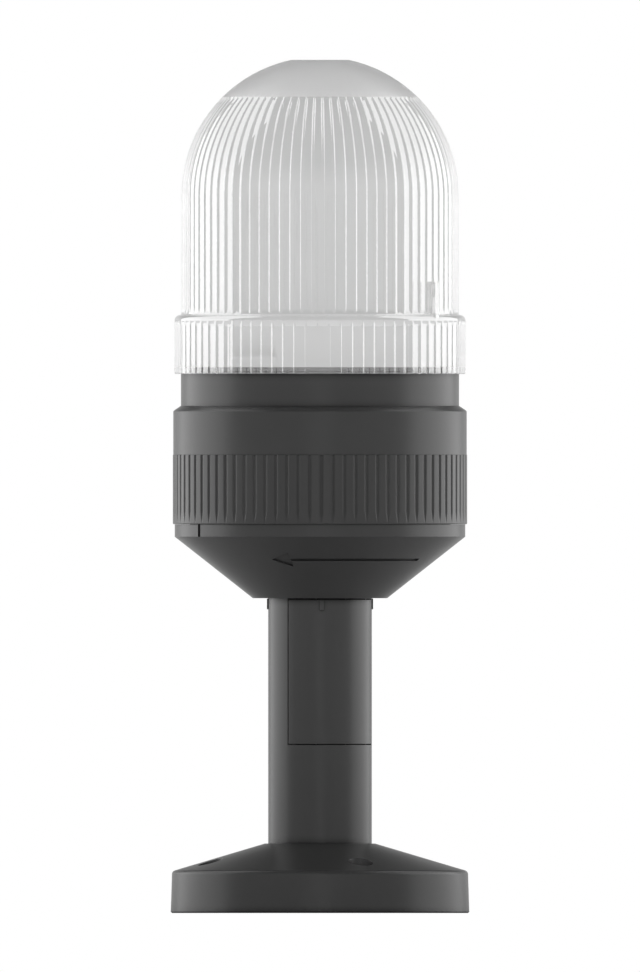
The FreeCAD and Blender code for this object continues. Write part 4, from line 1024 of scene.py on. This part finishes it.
@dataclass
class Studio:
    """A white backdrop under a dim ceiling, a pale floor, lamps at both sides and in front, and the camera.

    Attributes:
        view_height: height of what the camera sees.
        view_middle: height of the middle of the view.
        distance: distance of the camera.
        backdrop: brightness of the backdrop's light on the beacon.
        back_mirror: brightness in reflections of the backdrop and of the floor before it.
        floor_mirror: the same of the floor in front of the beacon.
        room_mirror: the same of the room in front of the beacon.
        backdrop_fade: sine of the angle before and behind the sides over which the backdrop fades in.
        backdrop_top: elevation in degrees up to which the backdrop is bright.
        ceiling_low: elevation in degrees from which the ceiling is dim.
        ceiling: brightness of the ceiling, as a share of the backdrop's.
        side_level: brightness of a side lamp.
        side_azimuths: azimuths in degrees of the side lamps.
        side_distance: distance of a side lamp.
        side_width: width of a side lamp.
        side_middle: height up to which it lights everything.
        side_high: height up to which it only shows in reflections.
        floor_reach: distance of a lamp that lies on the floor.
        floor_lamp: width and length of that lamp.
        floor_lamp_lift: height of that lamp above the floor.
        front_level: brightness that the front light gives a white sheet.
        front_height: elevation in degrees of the front light.
        front_spread: angle in degrees over which the front light is spread.
        floor_size: width of the floor.
        floor_drop: depth of the floor under the foot.
        floor_color: colour of the floor, linear.
        floor_near: distance up to which the floor is plain.
        floor_far: distance from which it is as white as the backdrop.
        floor_pale: share of that white which it shows close to the foot.
    """

    view_height: float = 0.22785
    view_middle: float = 0.1001
    distance: float = 1.2
    backdrop: float = 0.6
    back_mirror: float = 0.7
    floor_mirror: float = 0.35
    room_mirror: float = 0.25
    backdrop_fade: float = 0.3
    backdrop_top: float = 8.0
    ceiling_low: float = 30.0
    ceiling: float = 0.05
    side_level: float = 1.3
    side_azimuths: dict[str, float] = field(default_factory=lambda: {"left": -109.5, "right": 107.5})
    side_distance: float = 0.6
    side_width: float = 0.79
    side_middle: float = 0.45
    side_high: float = 1.4
    floor_reach: float = 0.32
    floor_lamp: tuple[float, float] = (0.5, 0.4)
    floor_lamp_lift: float = 1.0 * MM
    front_level: float = 0.49
    front_height: float = 4.0
    front_spread: float = 20.0
    floor_size: float = 6.0
    floor_drop: float = 0.05 * MM
    floor_color: Color = (0.8, 0.8, 0.8)
    floor_near: float = 0.06
    floor_far: float = 0.4
    floor_pale: float = 0.6

    def world(self) -> None:
        """Make the backdrop, white in view, its dim ceiling, and the room in front that reflections show."""
        world = bpy.data.worlds.new("studio")
        bpy.context.scene.world = world
        world.use_nodes = True
        sheet = NodeSheet(world.node_tree)
        path = sheet.add("ShaderNodeLightPath").outputs
        generated = sheet.add("ShaderNodeTexCoord").outputs["Generated"]
        direction = sheet.add("ShaderNodeSeparateXYZ", Vector=generated).outputs
        level = sheet.spread(path["Is Glossy Ray"], self.backdrop, self.back_mirror)
        below_ceiling = sheet.spread(
            direction["Z"], 1.0, self.ceiling,
            math.sin(math.radians(self.backdrop_top)), math.sin(math.radians(self.ceiling_low)),
        )
        behind = sheet.spread(direction["Y"], 0.0, 1.0, -self.backdrop_fade, self.backdrop_fade)
        back = sheet.math("MULTIPLY", behind, level)
        front = sheet.math("MULTIPLY", sheet.spread(behind, self.room_mirror, 0.0), path["Is Glossy Ray"])
        room = sheet.math("MULTIPLY", below_ceiling, sheet.math("ADD", back, front))
        strength = sheet.math("MAXIMUM", sheet.in_view(path), room)
        background = sheet.add("ShaderNodeBackground", Color=(1.0, 1.0, 1.0, 1.0), Strength=strength)
        sheet.add("ShaderNodeOutputWorld", Surface=background.outputs["Background"])

    def soft_lamp(
        self, name: str, azimuth: float, distance: float, height: float, size: tuple[float, float], tip: float
    ) -> bpy.types.Object:
        """Add a soft lamp beside the beacon.

        Args:
            name: name of the lamp.
            azimuth: azimuth of its middle in degrees.
            distance: distance of its middle from the pole's axis.
            height: height of its middle.
            size: its width and its length from the lower to the upper edge.
            tip: angle in degrees from lying face up to standing upright, 90, with its face to the beacon.

        Returns:
            The lamp.
        """
        light = bpy.data.lights.new(name, "AREA")
        light.shape = "RECTANGLE"
        light.size, light.size_y = size
        light.energy = self.side_level * math.pi * size[0] * size[1]
        lamp = put_in_scene(name, light)
        turn = math.radians(azimuth)
        lamp.location = (distance * math.sin(turn), -distance * math.cos(turn), height)
        lamp.rotation_euler = (math.radians(180.0 - tip), 0.0, turn)
        lamp.visible_camera = False
        lamp.visible_transmission = False
        log.info("%s at azimuth %.1f", name, azimuth)
        return lamp

    def side_lamps(self, side: str, azimuth: float) -> None:
        """Light one side: from the side, from the floor, and higher up in reflections only.

        Args:
            side: name of the side.
            azimuth: azimuth of the lamps in degrees.
        """
        low, high = self.side_middle, self.side_high
        reach, width = self.side_distance, self.side_width
        above = (width, high - low)
        self.soft_lamp(f"{side}_lamp", azimuth, reach, low / 2, (width, low), 90.0)
        upper = self.soft_lamp(f"{side}_upper_lamp", azimuth, reach, (low + high) / 2, above, 90.0)
        upper.visible_diffuse = False
        lying = self.soft_lamp(
            f"{side}_floor_lamp", azimuth, self.floor_reach, self.floor_lamp_lift, self.floor_lamp, 0.0
        )
        lying.visible_glossy = False

    def front_light(self) -> None:
        """Light the front softly and almost level, without a reflection of its own."""
        light = bpy.data.lights.new("front_light", "SUN")
        light.energy = self.front_level * math.pi
        light.angle = math.radians(self.front_spread)
        lamp = put_in_scene("front_light", light)
        lamp.rotation_euler = (math.radians(90.0 - self.front_height), 0.0, 0.0)
        lamp.visible_camera = False
        lamp.visible_glossy = False
        lamp.visible_transmission = False
        log.info("%s at elevation %.1f", lamp.name, self.front_height)

    def floor(self) -> None:
        """Lay the pale floor, which takes the beacon's shadow and fades into the backdrop."""
        half, low = self.floor_size / 2, -self.floor_drop
        mesh = bpy.data.meshes.new("floor")
        corners = [(-half, -half, low), (half, -half, low), (half, half, low), (-half, half, low)]
        mesh.from_pydata(corners, [], [(0, 1, 2, 3)])
        floor = put_in_scene("floor", mesh)
        material = bpy.data.materials.new("pale_floor")
        material.use_nodes = True
        sheet = NodeSheet(material.node_tree)
        path = sheet.add("ShaderNodeLightPath").outputs
        point = sheet.surface_point()
        away = sheet.vector_math("LENGTH", point)["Value"]
        far = sheet.spread(away, 0.0, 1.0, self.floor_near, self.floor_far)
        depth = sheet.add("ShaderNodeSeparateXYZ", Vector=point).outputs["Y"]
        level = sheet.spread(depth, self.floor_mirror, self.back_mirror, -self.floor_near, self.floor_near)
        plain_view = sheet.math("MULTIPLY", sheet.in_view(path), sheet.spread(far, self.floor_pale, 1.0))
        mirrored_view = sheet.math("MULTIPLY", path["Is Glossy Ray"], sheet.math("MULTIPLY", far, level))
        white_share = sheet.math("MAXIMUM", plain_view, mirrored_view)
        plain = sheet.add("ShaderNodeBsdfDiffuse", Color=(*self.floor_color, 1.0))
        white = sheet.add("ShaderNodeEmission", Strength=1.0)
        surface = sheet.mix_shaders(white_share, plain.outputs["BSDF"], white.outputs["Emission"])
        sheet.add("ShaderNodeOutputMaterial", Surface=surface)
        mesh.materials.append(material)

    def camera(self) -> None:
        """Set the level camera that looks at the beacon's front without perspective."""
        data = bpy.data.cameras.new("camera")
        data.type = "ORTHO"
        data.ortho_scale = self.view_height
        camera = put_in_scene("camera", data)
        camera.location = (0.0, -self.distance, self.view_middle)
        camera.rotation_euler = (math.pi / 2, 0.0, 0.0)
        bpy.context.scene.camera = camera

    def build(self) -> None:
        """Build the studio."""
        bpy.context.scene.view_settings.view_transform = "Standard"
        self.world()
        for side, azimuth in self.side_azimuths.items():
            self.side_lamps(side, azimuth)
        self.front_light()
        self.floor()
        self.camera()


def main() -> None:
    """Build the beacon from the foot upwards and the studio round it."""
    logging.basicConfig(level=logging.INFO, format="%(name)s: %(message)s")
    for part in (Foot(), Pole(), Adapter(), FlashModule(), Lens(), Studio()):
        part.build()


if __name__ == "__main__":
    main()
